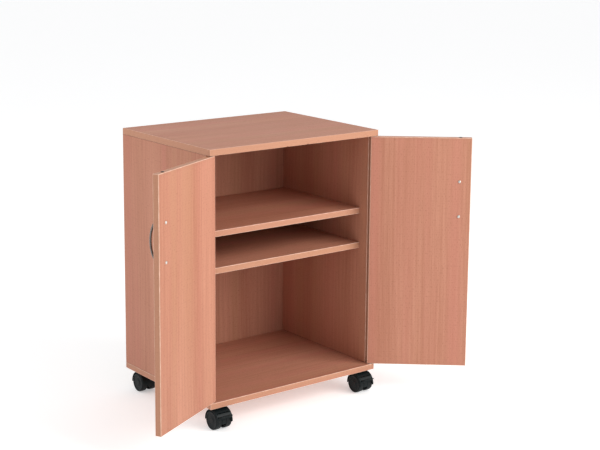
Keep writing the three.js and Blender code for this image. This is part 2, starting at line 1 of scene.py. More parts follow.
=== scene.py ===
"""Looks of a mobile printer stand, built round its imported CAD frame.

Metres, +Z up, front towards -Y. Boards are faced and edge-banded copies of the CAD boards. The fittings and
castors are rebuilt finely in the CAD's own places, and each piece rides on the body that it belongs to.
"""

import json
import logging
import math
from collections.abc import Callable, Iterable, Sequence
from dataclasses import dataclass
from enum import Enum

import bmesh
import bpy
import numpy as np
from mathutils import Matrix, Vector

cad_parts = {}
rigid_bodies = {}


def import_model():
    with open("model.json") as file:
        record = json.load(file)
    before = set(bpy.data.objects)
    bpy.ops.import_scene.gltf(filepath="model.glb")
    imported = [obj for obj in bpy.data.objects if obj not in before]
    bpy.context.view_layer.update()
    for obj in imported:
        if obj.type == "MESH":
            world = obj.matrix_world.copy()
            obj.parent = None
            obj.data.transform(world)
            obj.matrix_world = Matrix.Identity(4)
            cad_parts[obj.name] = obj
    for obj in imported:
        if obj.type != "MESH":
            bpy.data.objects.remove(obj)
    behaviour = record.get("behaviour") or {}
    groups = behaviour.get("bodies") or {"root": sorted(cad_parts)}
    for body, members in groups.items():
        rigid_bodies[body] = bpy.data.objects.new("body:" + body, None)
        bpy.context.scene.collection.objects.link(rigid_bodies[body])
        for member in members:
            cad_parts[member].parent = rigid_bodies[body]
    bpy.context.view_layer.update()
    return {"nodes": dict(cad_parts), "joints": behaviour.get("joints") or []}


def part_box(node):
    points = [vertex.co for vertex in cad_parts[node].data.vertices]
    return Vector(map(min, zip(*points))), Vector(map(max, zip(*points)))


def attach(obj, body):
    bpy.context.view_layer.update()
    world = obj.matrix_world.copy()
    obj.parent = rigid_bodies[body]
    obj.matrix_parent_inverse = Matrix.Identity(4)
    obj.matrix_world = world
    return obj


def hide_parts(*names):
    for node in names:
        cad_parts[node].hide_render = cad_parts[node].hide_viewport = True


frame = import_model()

LOG = logging.getLogger("printer_stand")
MM = 0.001
Colour = tuple[float, float, float]
Point2 = tuple[float, float]
BMesh = bmesh.types.BMesh
Material = bpy.types.Material
Mesh = bpy.types.Mesh
Node = bpy.types.Node
Piece = bpy.types.Object
Socket = bpy.types.NodeSocket
SQUARE = ((-1, -1), (1, -1), (1, 1), (-1, 1))
REARWARD = 0.9  # least Y of a rear face's normal
TOUCHING = 1e-5  # distance at which a corner counts as on a plane


# ---- Shader arithmetic ------------------------------------------------------------------


class Expr:
    """A number on a shader socket, which Python arithmetic turns into Math nodes."""

    def __init__(self, book: "ShaderBook", socket: Socket) -> None:
        """Wraps a socket.

        Args:
            book: The material's node book, which makes the Math nodes.
            socket: The output socket that carries the number.
        """
        self.book = book
        self.socket = socket

    def _math(self, operation: str, *values: "Expr | float") -> "Expr":
        """Adds one Math node and wraps its output."""
        node = self.book.node("ShaderNodeMath", {"operation": operation}, dict(enumerate(values)))
        return Expr(self.book, node.outputs[0])

    def __add__(self, other: "Expr | float") -> "Expr":
        """self + other."""
        return self._math("ADD", self, other)

    __radd__ = __add__

    def __sub__(self, other: "Expr | float") -> "Expr":
        """self - other."""
        return self._math("SUBTRACT", self, other)

    def __rsub__(self, other: float) -> "Expr":
        """other - self."""
        return self._math("SUBTRACT", other, self)

    def __mul__(self, other: "Expr | float") -> "Expr":
        """self * other."""
        return self._math("MULTIPLY", self, other)

    __rmul__ = __mul__

    def __abs__(self) -> "Expr":
        """The size of the number, without its sign."""
        return self._math("ABSOLUTE", self)

    def sine(self) -> "Expr":
        """The sine, in radians."""
        return self._math("SINE", self)

    def least(self, other: "Expr | float") -> "Expr":
        """The smaller of two numbers."""
        return self._math("MINIMUM", self, other)

    def step(self, low: float, high: float) -> "Expr":
        """A soft step.

        Args:
            low: Where the result is 0.
            high: Where the result reaches 1.

        Returns:
            A number from 0 to 1.
        """
        node = self.book.node(
            "ShaderNodeMapRange",
            {"interpolation_type": "SMOOTHSTEP"},
            {"Value": self, "From Min": low, "From Max": high},
        )
        return Expr(self.book, node.outputs["Result"])


class Wiring:
    """A node tree that is filled one node at a time."""

    tree: bpy.types.NodeTree

    def node(self, kind: str, settings: dict | None = None, sockets: dict | None = None) -> Node:
        """Adds a node.

        Args:
            kind: The node's type.
            settings: Properties of the node, which are set first.
            sockets: What its inputs get, by name or number: a number, a colour, a socket or an Expr.

        Returns:
            The new node.
        """
        made = self.tree.nodes.new(kind)
        for key, value in (settings or {}).items():
            setattr(made, key, value)
        for key, value in (sockets or {}).items():
            self.feed(made.inputs[key], value)
        return made

    def feed(self, socket: Socket, value: object) -> None:
        """Links a socket or an Expr to an input, or sets the input's own value."""
        source = value.socket if isinstance(value, Expr) else value
        if isinstance(source, Socket):
            self.tree.links.new(source, socket)
        else:
            socket.default_value = source


class ShaderBook(Wiring):
    """Builds the node tree of one material."""

    def __init__(self, name: str) -> None:
        """Starts a material with only its output and a Principled shader."""
        self.material = bpy.data.materials.new(name)
        self.material.use_nodes = True
        self.tree = self.material.node_tree
        self.tree.nodes.clear()
        self.shader = self.node("ShaderNodeBsdfPrincipled")
        self.node("ShaderNodeOutputMaterial", {}, {"Surface": self.shader.outputs[0]})

    def surface(self, values: dict[str, object]) -> Material:
        """Sets the shader's inputs.

        Args:
            values: A number, a colour, a socket or an Expr for each named input.

        Returns:
            The finished material.
        """
        for key, value in values.items():
            self.feed(self.shader.inputs[key], (*value, 1.0) if isinstance(value, tuple) else value)
        return self.material

    def scaled(self, vector: Socket, factors: Sequence[float]) -> Socket:
        """A vector times three factors."""
        node = self.node("ShaderNodeVectorMath", {"operation": "MULTIPLY"}, {0: vector, 1: tuple(factors)})
        return node.outputs[0]

    def noise(self, vector: Socket, factors: Sequence[float], detail: float = 2.0) -> Expr:
        """Smooth noise from 0 to 1 whose cells are 1 / factors metres in size."""
        node = self.node(
            "ShaderNodeTexNoise",
            {"noise_dimensions": "3D"},
            {"Vector": self.scaled(vector, factors), "Scale": 1.0, "Detail": detail},
        )
        return Expr(self, node.outputs[0])

    def blend(self, amount: Expr | float, under: object, over: object) -> Socket:
        """One colour laid over another.

        Args:
            amount: 0 shows the colour under, 1 the colour over.
            under: A colour or a colour socket.
            over: A colour or a colour socket.

        Returns:
            The mixed colour's socket.
        """
        colours = [(*c, 1.0) if isinstance(c, tuple) else c for c in (under, over)]
        node = self.node("ShaderNodeMix", {"data_type": "RGBA"}, {0: amount, 6: colours[0], 7: colours[1]})
        return node.outputs[2]

    def bump(self, height: Expr, distance: float, strength: float = 1.0) -> Socket:
        """A normal from a height of 0 to 1 that stands for a distance in metres."""
        node = self.node("ShaderNodeBump", {}, {"Height": height, "Distance": distance, "Strength": strength})
        return node.outputs[0]

    def place(self) -> Socket:
        """The point's place in the object's own coordinates."""
        return self.node("ShaderNodeTexCoord").outputs["Object"]

    def attribute(self, name: str) -> Node:
        """The Attribute node of a named attribute of the mesh."""
        return self.node("ShaderNodeAttribute", {"attribute_name": name})

    def amount(self, name: str) -> Expr:
        """A named attribute of the mesh that holds one number."""
        return Expr(self, self.attribute(name).outputs["Fac"])


# ---- Finishes ---------------------------------------------------------------------------


@dataclass(frozen=True)
class Finish:
    """A surface finish, which makes its material once."""

    name: str

    def material(self) -> Material:
        """The finish's material."""
        return bpy.data.materials.get(self.name) or self.build(ShaderBook(self.name))

    def build(self, book: ShaderBook) -> Material:
        """Fills the material's node tree."""
        raise NotImplementedError


@dataclass(frozen=True)
class BeechPrint(Finish):
    """Beech printed on paper under clear melamine, with an embossed grain.

    The pattern lies in the piece's "print" map, in metres: u across the grain and v along it. The "rim"
    attribute holds the distances to the board's four edges, for the line of the band and the dark joint line
    beside it, which at a butt end is spread wide as painted shade of the gap between the boards.
    """

    light: Colour = (0.53, 0.250, 0.168)
    dark: Colour = (0.38, 0.156, 0.096)
    rosy: Colour = (0.50, 0.198, 0.144)
    tan: Colour = (0.46, 0.235, 0.138)
    fleck: Colour = (0.24, 0.090, 0.052)
    band: Colour = (0.62, 0.350, 0.250)
    joint: Colour = (0.17, 0.070, 0.040)
    contrast: float = 1.0
    roughness: float = 0.46
    shine: float = 0.13
    band_thickness: float = 1.6 * MM

    @property
    def joint_place(self) -> float:
        """The "rim" distance at which the dark joint line is drawn."""
        return 1.1 * self.band_thickness

    def figure(self, book: ShaderBook, uv: Socket) -> tuple[Socket, Expr, Expr]:
        """The grain.

        Args:
            book: The material's node book.
            uv: Distances across and along the grain.

        Returns:
            The grain's colour; the flecks; and the fine pores.
        """
        bands = book.noise(uv, (13.0, 0.5, 1.0), 1.5)
        hue = book.noise(uv, (19.0, 0.4, 1.0), 1.0)
        sway = book.noise(uv, (2.6, 1.1, 1.0), 1.0)
        streaks = book.noise(uv, (190.0, 2.4, 1.0), 3.0)
        pores = book.noise(uv, (1000.0, 14.0, 1.0), 2.0)
        flecks = book.noise(uv, (1300.0, 150.0, 1.0), 0.0).step(0.64, 0.78)
        across = book.node("ShaderNodeSeparateXYZ", {}, {0: uv}).outputs[0]
        rings = (Expr(book, across) * 420.0 + sway * 40.0).sine()
        tone = 0.55 + self.contrast * (
            1.0 * (streaks - 0.5) + 0.9 * (pores - 0.5) + 1.1 * (bands - 0.5) + 0.06 * rings
        )
        wood = book.blend(tone, self.dark, self.light)
        wood = book.blend(hue.step(0.50, 0.72) * 0.55, wood, self.rosy)
        wood = book.blend((1.0 - hue).step(0.50, 0.72) * 0.45, wood, self.tan)
        return book.blend(flecks * (0.5 * self.contrast), wood, self.fleck), flecks, pores

    def build(self, book: ShaderBook) -> Material:
        """Fills the node tree of the facing and of the band's thin line round it."""
        uv = book.node("ShaderNodeUVMap", {"uv_map": "print"}).outputs[0]
        wood, flecks, pores = self.figure(book, uv)
        rim = book.attribute("rim")
        parts = book.node("ShaderNodeSeparateColor", {}, {0: rim.outputs["Color"]})
        sides = [Expr(book, parts.outputs[i]) for i in range(3)]
        near = sides[0].least(sides[1]).least(sides[2]).least(Expr(book, rim.outputs["Alpha"]))
        band = 1.0 - near.step(0.96 * self.band_thickness, 1.04 * self.band_thickness)
        # The dark joint line: a glue line beside the band, and at a butt end painted shade of the gap between
        # boards.
        joint = 1.0 - abs(near - self.joint_place).step(0.05 * MM, 0.18 * MM)
        smudge = book.noise(book.place(), (9.0, 9.0, 9.0), 4.0)
        grime = (1.0 - near.step(0.0, 16.0 * MM)) * smudge

        wood = book.blend(band * 0.8, wood, self.band)
        wood = book.blend(joint * 0.55, wood, self.joint)
        wood = book.blend(grime * 0.14, wood, self.fleck)
        gloss = self.roughness + 0.10 * (smudge - 0.5) + 0.07 * (pores - 0.5) + 0.10 * flecks
        relief = pores * 0.7 - flecks * 0.6 - joint
        return book.surface(
            {
                "Base Color": wood,
                "Roughness": gloss,
                "Specular IOR Level": self.shine,
                "Normal": book.bump(relief, 0.03 * MM, 0.6),
            }
        )


@dataclass(frozen=True)
class BeechBand(BeechPrint):
    """The edge band: plainer than the facing, with a painted pale highlight along its rounded corners
    ("corner" attribute), broken up as if rubbed.
    """

    light: Colour = (0.51, 0.255, 0.163)
    dark: Colour = (0.41, 0.195, 0.120)
    contrast: float = 0.7
    roughness: float = 0.40
    # Pale colour of the painted corner highlight, which also stands for rubbing.
    rubbed_highlight: Colour = (0.82, 0.58, 0.46)

    def build(self, book: ShaderBook) -> Material:
        """Fills the node tree."""
        uv = book.node("ShaderNodeUVMap", {"uv_map": "print"}).outputs[0]
        wood, _, pores = self.figure(book, uv)
        knocks = book.noise(book.place(), (55.0, 55.0, 55.0), 4.0).step(0.42, 0.68)
        # Painted highlight: the rounded corners are laid pale where the edge would catch light, varied by
        # knocks like rubbing.
        worn = book.amount("corner") * (0.55 + 0.45 * knocks)
        return book.surface(
            {
                "Base Color": book.blend(worn * 0.85, wood, self.rubbed_highlight),
                "Roughness": self.roughness + 0.16 * worn + 0.06 * (pores - 0.5),
                "Specular IOR Level": self.shine,
                "Normal": book.bump(pores, 0.02 * MM, 0.5),
            }
        )


@dataclass(frozen=True)
class RawChipboard(Finish):
    """Sawn chipboard, as on rear edges and in holes."""

    pale: Colour = (0.52, 0.36, 0.22)
    dark: Colour = (0.22, 0.125, 0.065)

    def build(self, book: ShaderBook) -> Material:
        """Fills the node tree with pressed chips of mixed tones."""
        place = book.place()
        cells = book.scaled(place, (620, 620, 980))
        chips = book.node("ShaderNodeTexVoronoi", {}, {"Vector": cells, "Scale": 1.0})
        tones = book.node("ShaderNodeSeparateColor", {}, {0: chips.outputs["Color"]})
        tone = Expr(book, tones.outputs[0]) * 0.75 + book.noise(place, (2600, 2600, 2600), 2.0) * 0.35
        height = 1.0 - Expr(book, chips.outputs["Distance"])
        return book.surface(
            {
                "Base Color": book.blend(tone, self.dark, self.pale),
                "Roughness": 0.82 + 0.1 * tone,
                "Normal": book.bump(height, 0.18 * MM, 0.7),
            }
        )


@dataclass(frozen=True)
class Hardboard(Finish):
    """The brown pressed-fibre rear of the back panel, with a faint mesh from its press."""

    pale: Colour = (0.33, 0.185, 0.10)
    dark: Colour = (0.20, 0.105, 0.055)
    mesh_pitch: float = 1.6 * MM

    def build(self, book: ShaderBook) -> Material:
        """Fills the node tree."""
        place = book.place()
        fibre = book.noise(place, (420.0, 420.0, 420.0), 6.0)
        cloud = book.noise(place, (6.0, 6.0, 6.0), 3.0)
        axes = book.node("ShaderNodeSeparateXYZ", {}, {0: place}).outputs
        turn = 2.0 * math.pi / self.mesh_pitch
        weave = (Expr(book, axes[0]) * turn).sine() * (Expr(book, axes[2]) * turn).sine()
        tone = fibre * 0.8 + cloud * 0.4 - 0.1
        return book.surface(
            {
                "Base Color": book.blend(tone, self.dark, self.pale),
                "Roughness": 0.72 + 0.12 * fibre,
                "Normal": book.bump(fibre * 0.6 + weave * 0.2, 0.12 * MM, 0.7),
            }
        )


@dataclass(frozen=True)
class Metal(Finish):
    """A plated metal with a fine directional or mottled surface."""

    colour: Colour
    stain: Colour
    roughness: float
    brushing: Colour = (500.0, 500.0, 500.0)
    brush_depth: float = 0.004 * MM

    def build(self, book: ShaderBook) -> Material:
        """Fills the node tree."""
        place = book.place()
        lines = book.noise(place, self.brushing, 3.0)
        cloud = book.noise(place, (120.0, 120.0, 120.0), 3.0)
        return book.surface(
            {
                "Metallic": 1.0,
                "Base Color": book.blend(cloud.step(0.35, 0.75), self.colour, self.stain),
                "Roughness": self.roughness + 0.16 * (lines - 0.5) + 0.10 * (cloud - 0.5),
                "Normal": book.bump(lines, self.brush_depth, 0.5),
            }
        )


@dataclass(frozen=True)
class Moulding(Finish):
    """Injection-moulded plastic: a fine spark-eroded texture, dust in places, and rubbed "worn" areas."""

    colour: Colour
    dust: Colour
    roughness: float
    grain: float = 2600.0
    grain_depth: float = 0.012 * MM
    worn_roughness: float = 0.18
    shine: float = 0.13

    def build(self, book: ShaderBook) -> Material:
        """Fills the node tree."""
        place = book.place()
        texture = book.noise(place, (self.grain,) * 3, 2.0)
        cloud = book.noise(place, (60.0, 60.0, 60.0), 4.0)
        scuffs = book.noise(place, (900.0, 260.0, 260.0), 3.0).step(0.56, 0.74)
        worn = book.amount("worn")
        dusty = cloud.step(0.5, 0.85) * 0.06 + worn * (0.05 + 0.30 * scuffs)
        gloss = self.roughness + 0.12 * (cloud - 0.4) + self.worn_roughness * worn + 0.05 * texture
        return book.surface(
            {
                "Base Color": book.blend(dusty, self.colour, self.dust),
                "Roughness": gloss,
                "Specular IOR Level": self.shine,
                "Normal": book.bump(texture - scuffs * worn, self.grain_depth, 0.6),
            }
        )


@dataclass(frozen=True)
class StudioPaper(Finish):
    """The plain pale floor."""

    colour: Colour = (0.88, 0.88, 0.88)
    glow: float = 0.42

    def build(self, book: ShaderBook) -> Material:
        """Fills the node tree."""
        cloud = book.noise(book.place(), (0.8, 0.8, 0.8), 2.0)
        return book.surface(
            {
                "Base Color": self.colour,
                "Roughness": 0.78 + 0.1 * cloud,
                "Emission Color": self.colour,
                "Emission Strength": self.glow,
            }
        )


BEECH = BeechPrint("beech_facing")
BAND = BeechBand("beech_edge_band")
CHIPBOARD = RawChipboard("raw_chipboard")
HARDBOARD = Hardboard("hardboard_rear")
# Nickel darkened below its own colour: painted dark reflection, so that the handle looks dark in the white
# studio.
NICKEL_PAINTED_DARK = Metal("satin_nickel", (0.20, 0.19, 0.18), (0.15, 0.145, 0.135), 0.27, (3200.0, 3200.0, 120.0))
ZINC = Metal("zinc_plate", (0.70, 0.70, 0.68), (0.56, 0.55, 0.50), 0.30)
BLACK_NYLON = Moulding("black_nylon", (0.006, 0.010, 0.011), (0.055, 0.056, 0.054), 0.32)
TREAD_NYLON = Moulding("tread_nylon", (0.007, 0.010, 0.011), (0.065, 0.064, 0.062), 0.34)
GREY_NYLON = Moulding("grey_nylon", (0.30, 0.29, 0.27), (0.20, 0.19, 0.17), 0.45, shine=0.5)


# ---- Places -----------------------------------------------------------------------------


@dataclass(frozen=True)
class Place:
    """Right-handed axes at a point of the row frame, in which a sub-assembly is drawn."""

    origin: Vector
    x: Vector
    y: Vector
    z: Vector

    def matrix(self) -> Matrix:
        """From these axes to the row frame."""
        turn = Matrix((self.x, self.y, self.z)).transposed().to_4x4()
        return Matrix.Translation(self.origin) @ turn

    def span(self, node: str) -> tuple[Vector, Vector]:
        """The lowest and highest corner of a CAD node, measured along these axes."""
        points = node_points(node) - np.array(self.origin)
        local = points @ np.array([self.x, self.y, self.z]).T
        return Vector(local.min(0)), Vector(local.max(0))

    def middle(self, node: str) -> Vector:
        """The middle of a CAD node's box along these axes."""
        low, high = self.span(node)
        return (low + high) / 2


def node_points(node: str) -> np.ndarray:
    """A CAD node's vertices, one row each."""
    mesh = frame["nodes"][node].data
    points = np.empty(len(mesh.vertices) * 3)
    mesh.vertices.foreach_get("co", points)
    return points.reshape(-1, 3)


def joint(name: str) -> dict:
    """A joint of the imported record."""
    return next(j for j in frame["joints"] if j["name"] == name)


# ---- Mesh making ------------------------------------------------------------------------


def arc(centre: Point2, radius: float, start: float, end: float, steps: int) -> list[Point2]:
    """Points along an arc, both ends included, with angles in degrees."""
    angles = np.radians(np.linspace(start, end, steps + 1))
    return [(centre[0] + radius * math.cos(a), centre[1] + radius * math.sin(a)) for a in angles]


def filleted(corners: Sequence[tuple[float, float, float]], steps: int = 5) -> list[Point2]:
    """Rounds the corners of a closed outline.

    Args:
        corners: Each corner's two coordinates and its fillet's radius, which is 0 for a sharp one.
        steps: Segments in each fillet.

    Returns:
        The outline's points in order.
    """
    points = []
    count = len(corners)
    for i, (a, b, radius) in enumerate(corners):
        here = Vector((a, b))
        if radius <= 0:
            points.append((a, b))
            continue
        before = (Vector(corners[i - 1][:2]) - here).normalized()
        after = (Vector(corners[(i + 1) % count][:2]) - here).normalized()
        half = before.angle(after) / 2
        start = here + before * (radius / math.tan(half))
        centre = here + (before + after).normalized() * (radius / math.sin(half))
        spoke = start - centre
        sweep = math.copysign(math.pi - 2 * half, after.x * before.y - after.y * before.x)
        for k in range(steps + 1):
            points.append(tuple(centre + Matrix.Rotation(sweep * k / steps, 2) @ spoke))
    return points


def new_mesh(name: str, bm: BMesh) -> Mesh:
    """Turns a bmesh into a mesh with shared corners and outward faces, and frees it."""
    bmesh.ops.remove_doubles(bm, verts=bm.verts, dist=1e-7)
    bmesh.ops.recalc_face_normals(bm, faces=bm.faces)
    mesh = bpy.data.meshes.new(name)
    bm.to_mesh(mesh)
    bm.free()
    return mesh


def turned(name: str, profile: Sequence[Point2], segments: int = 64, axis: str = "z") -> Mesh:
    """A turned solid.

    Args:
        name: The mesh's name.
        profile: (radius, distance along the axis) in order, from axis to axis or closed on itself.
        segments: Facets round the axis.
        axis: "x", "y" or "z".

    Returns:
        The mesh, about the origin.
    """
    order = {"x": (2, 0, 1), "y": (1, 2, 0), "z": (0, 1, 2)}[axis]
    bm = bmesh.new()
    rings = []
    for radius, along in profile:
        count = segments if radius > 1e-9 else 1
        ring = []
        for k in range(count):
            angle = 2 * math.pi * k / segments
            flat = (radius * math.cos(angle), radius * math.sin(angle), along)
            ring.append(bm.verts.new(tuple(flat[i] for i in order)))
        rings.append(ring)
    open_ended = len(rings[0]) > 1
    for i in range(len(rings) if open_ended else len(rings) - 1):
        one, two = rings[i], rings[(i + 1) % len(rings)]
        for k in range(segments):
            n = (k + 1) % segments
            corners = [one[k % len(one)], one[n % len(one)], two[n % len(two)], two[k % len(two)]]
            corners = list(dict.fromkeys(corners))
            if len(corners) > 2:
                bm.faces.new(corners)
    return new_mesh(name, bm)


def drum(
    name: str, radius: float, low: float, high: float, segments: int = 40, axis: str = "z"
) -> Mesh:
    """A plain round bar between two places on an axis."""
    return turned(name, [(0, low), (radius, low), (radius, high), (0, high)], segments, axis)


def extruded(name: str, outline: Sequence[Point2], low: float, high: float, axis: str) -> Mesh:
    """A closed outline pushed along an axis.

    Args:
        name: The mesh's name.
        outline: Points in the plane across the axis: (y, z) for "x", (x, y) for "z".
        low: Where it starts along the axis.
        high: Where it ends.
        axis: "x" or "z".

    Returns:
        The mesh.
    """
    bm = bmesh.new()
    ends = []
    for along in (low, high):
        points = [(along, *p) if axis == "x" else (*p, along) for p in outline]
        ends.append([bm.verts.new(p) for p in points])
    count = len(outline)
    for k in range(count):
        n = (k + 1) % count
        bm.faces.new((ends[0][k], ends[0][n], ends[1][n], ends[1][k]))
    bm.faces.new(ends[0])
    bm.faces.new(ends[1][::-1])
    return new_mesh(name, bm)


def finished(
    name: str,
    mesh: Mesh,
    finishes: Iterable[Finish],
    sharp_degrees: float = 35.0,
) -> Piece:
    """Makes a piece from a mesh: smooth but for its sharp corners, with its finishes as material slots.

    Args:
        name: The piece's name.
        mesh: Its mesh, in the row frame.
        finishes: One for each material slot.
        sharp_degrees: The least angle between faces that stays a crisp corner.

    Returns:
        The piece, at the origin.
    """
    piece = bpy.data.objects.new(name, mesh)
    mesh.name = name
    bpy.context.scene.collection.objects.link(piece)
    slots = [face.material_index for face in mesh.polygons]
    mesh.materials.clear()
    for finish in finishes:
        mesh.materials.append(finish.material())
    last = len(mesh.materials) - 1
    mesh.polygons.foreach_set("material_index", [min(slot, last) for slot in slots])
    mesh.shade_smooth()
    mesh.set_sharp_from_angle(angle=math.radians(sharp_degrees))
    return piece


def evened(piece: Piece) -> Piece:
    """Gives a piece weighted normals, so that its flat faces stay flat beside small rounded edges."""
    modifier = piece.modifiers.new("flat_faces", "WEIGHTED_NORMAL")
    modifier.keep_sharp = True
    modifier.weight = 90
    return piece


def settled(piece: Piece, slot: str, body: str, *nodes: str) -> Piece:
    """Puts a piece on its body, in place of the CAD nodes that it stands for.

    Args:
        piece: The finished piece.
        slot: Its material slot in the record; not used.
        body: The body that it rides on.
        *nodes: The CAD nodes that it replaces.

    Returns:
        The piece.
    """
    if nodes:
        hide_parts(*nodes)
    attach(piece, body)
    LOG.info("%s: %d faces", piece.name, len(piece.data.polygons))
    return piece


def scratch(mesh: Mesh) -> Piece:
    """A helper object for a mesh, which is removed once it has been used."""
    helper = bpy.data.objects.new(mesh.name, mesh)
    bpy.context.scene.collection.objects.link(helper)
    return helper


def evaluated(helper: Piece) -> Mesh:
    """The mesh of an object with its modifiers applied."""
    graph = bpy.context.evaluated_depsgraph_get()
    return bpy.data.meshes.new_from_object(helper.evaluated_get(graph), depsgraph=graph)


def combined(base: Mesh, steps: Sequence[tuple[str, Mesh]], edge: float = 0.0) -> Mesh:
    """Joins and cuts solids.

    Args:
        base: The first solid.
        steps: ("UNION" or "DIFFERENCE", solid) in order.
        edge: The rounding of the corners that result, or 0 for none.

    Returns:
        The resulting mesh.
    """
    helper = scratch(base)
    tools = []
    for operation, mesh in steps:
        tool = scratch(mesh)
        tools.append(tool)
        modifier = helper.modifiers.new("step", "BOOLEAN")
        modifier.operation = operation
        modifier.object = tool
        modifier.solver = "EXACT"
    if edge > 0:
        bevel = helper.modifiers.new("edge", "BEVEL")
        bevel.width = edge
        bevel.segments = 2
        bevel.limit_method = "ANGLE"
        bevel.angle_limit = math.radians(40)
    result = evaluated(helper)
    for used in (helper, *tools):
        bpy.data.objects.remove(used)
    return result


def joined(name: str, meshes: Sequence[Mesh]) -> Mesh:
    """Several meshes as one."""
    bm = bmesh.new()
    for mesh in meshes:
        bm.from_mesh(mesh)
    result = bpy.data.meshes.new(name)
    bm.to_mesh(result)
    bm.free()
    return result


def moved(mesh: Mesh, matrix: Matrix) -> Mesh:
    """A copy of a mesh, moved by a matrix."""
    copy = mesh.copy()
    copy.transform(matrix)
    return copy


def set_amount(mesh: Mesh, name: str, rule: Callable[[Vector], float]) -> None:
    """Writes a number for each vertex.

    Args:
        mesh: The mesh that gets the attribute.
        name: The attribute's name.
        rule: Gives the number at a vertex.
    """
    layer = mesh.attributes.new(name, "FLOAT", "POINT")
    layer.data.foreach_set("value", [rule(v.co) for v in mesh.vertices])


# ---- Geometry Nodes ---------------------------------------------------------------------


class NodeRecipe(Wiring):
    """A Geometry Nodes tree with named inputs, which ends in Realize Instances and Set Material."""

    def __init__(self, name: str, inputs: dict[str, tuple[str, object]]) -> None:
        """Starts a tree.

        Args:
            name: The tree's name.
            inputs: Each input's socket type and its default.
        """
        self.tree = bpy.data.node_groups.new(name, "GeometryNodeTree")
        face = self.tree.interface
        face.new_socket("Geometry", in_out="INPUT", socket_type="NodeSocketGeometry")
        face.new_socket("Geometry", in_out="OUTPUT", socket_type="NodeSocketGeometry")
        self.ids = {}
        for label, (kind, default) in {**inputs, "Material": ("NodeSocketMaterial", None)}.items():
            socket = face.new_socket(label, in_out="INPUT", socket_type=kind)
            if default is not None:
                socket.default_value = default
            self.ids[label] = socket.identifier
        self.inputs = self.tree.nodes.new("NodeGroupInput").outputs

    def math(self, operation: str, *values: object) -> Socket:
        """A Math node's result."""
        return self.node("ShaderNodeMath", {"operation": operation}, dict(enumerate(values))).outputs[0]

    def vector(self, *parts: object) -> Socket:
        """A vector from its three parts."""
        return self.node("ShaderNodeCombineXYZ", {}, dict(enumerate(parts))).outputs[0]

    def template(self, label: str) -> Socket:
        """The geometry of the object that an input names."""
        sockets = {"Object": self.inputs[label]}
        info = self.node("GeometryNodeObjectInfo", {"transform_space": "ORIGINAL"}, sockets)
        return info.outputs["Geometry"]

    def instances(self, points: Socket, template: Socket, turn: Socket | None = None) -> Socket:
        """A template at each point, turned or not."""
        sockets = {"Points": points, "Instance": template, **({"Rotation": turn} if turn else {})}
        return self.node("GeometryNodeInstanceOnPoints", {}, sockets).outputs[0]

    def end(self, geometry: Socket) -> None:
        """Closes the tree."""
        real = self.node("GeometryNodeRealizeInstances", {}, {0: geometry}).outputs[0]
        sockets = {"Geometry": real, "Material": self.inputs["Material"]}
        dressed = self.node("GeometryNodeSetMaterial", {}, sockets)
        self.node("NodeGroupOutput", {}, {0: dressed.outputs[0]})

    def bake(self, base: Mesh, finish: Finish, **values: object) -> Mesh:
        """Runs the tree on a mesh.

        Args:
            base: The mesh that the tree starts from.
            finish: The finish that the result gets.
            **values: Inputs by name, with _ for a space.

        Returns:
            The result as a plain mesh.
        """
        helper = scratch(base)
        modifier = helper.modifiers.new("recipe", "NODES")
        modifier.node_group = self.tree
        modifier[self.ids["Material"]] = finish.material()
        for key, value in values.items():
            modifier[self.ids[key.replace("_", " ").title()]] = value
        result = evaluated(helper)
        bpy.data.objects.remove(helper)
        return result


def copies_recipe() -> NodeRecipe:
    """A tree that puts a copy of a template at each vertex, turned by the vertex's "turn" attribute."""
    recipe = NodeRecipe("placed_copies", {"Template": ("NodeSocketObject", None)})
    template = recipe.template("Template")
    turn = recipe.node("GeometryNodeInputNamedAttribute", {"data_type": "FLOAT_VECTOR"}, {"Name": "turn"})
    recipe.end(recipe.instances(recipe.inputs["Geometry"], template, turn.outputs[0]))
    return recipe


def placed_copies(
    recipe: NodeRecipe,
    name: str,
    template: Mesh,
    points: Sequence[Vector],
    turns: Sequence[Vector],
    finish: Finish,
) -> Mesh:
    """Copies of a template mesh at several points.

    Args:
        recipe: The tree of copies_recipe.
        name: The result's name.
        template: The mesh that is copied.
        points: Where each copy's origin goes.
        turns: Each copy's turn, as Euler angles in radians.
        finish: The copies' finish.

    Returns:
        All the copies as one mesh.
    """
    base = bpy.data.meshes.new(name)
    base.from_pydata([tuple(p) for p in points], [], [])
    layer = base.attributes.new("turn", "FLOAT_VECTOR", "POINT")
    layer.data.foreach_set("vector", [c for t in turns for c in t])
    pattern = scratch(template)
    result = recipe.bake(base, finish, template=pattern)
    bpy.data.objects.remove(pattern)
    return result


# ---- Boards -----------------------------------------------------------------------------


class Grain(Enum):
    """Which way a board's grain runs."""

    UPRIGHT = (0.0, 0.0, 1.0)
    SIDEWAYS = (1.0, 0.0, 0.0)


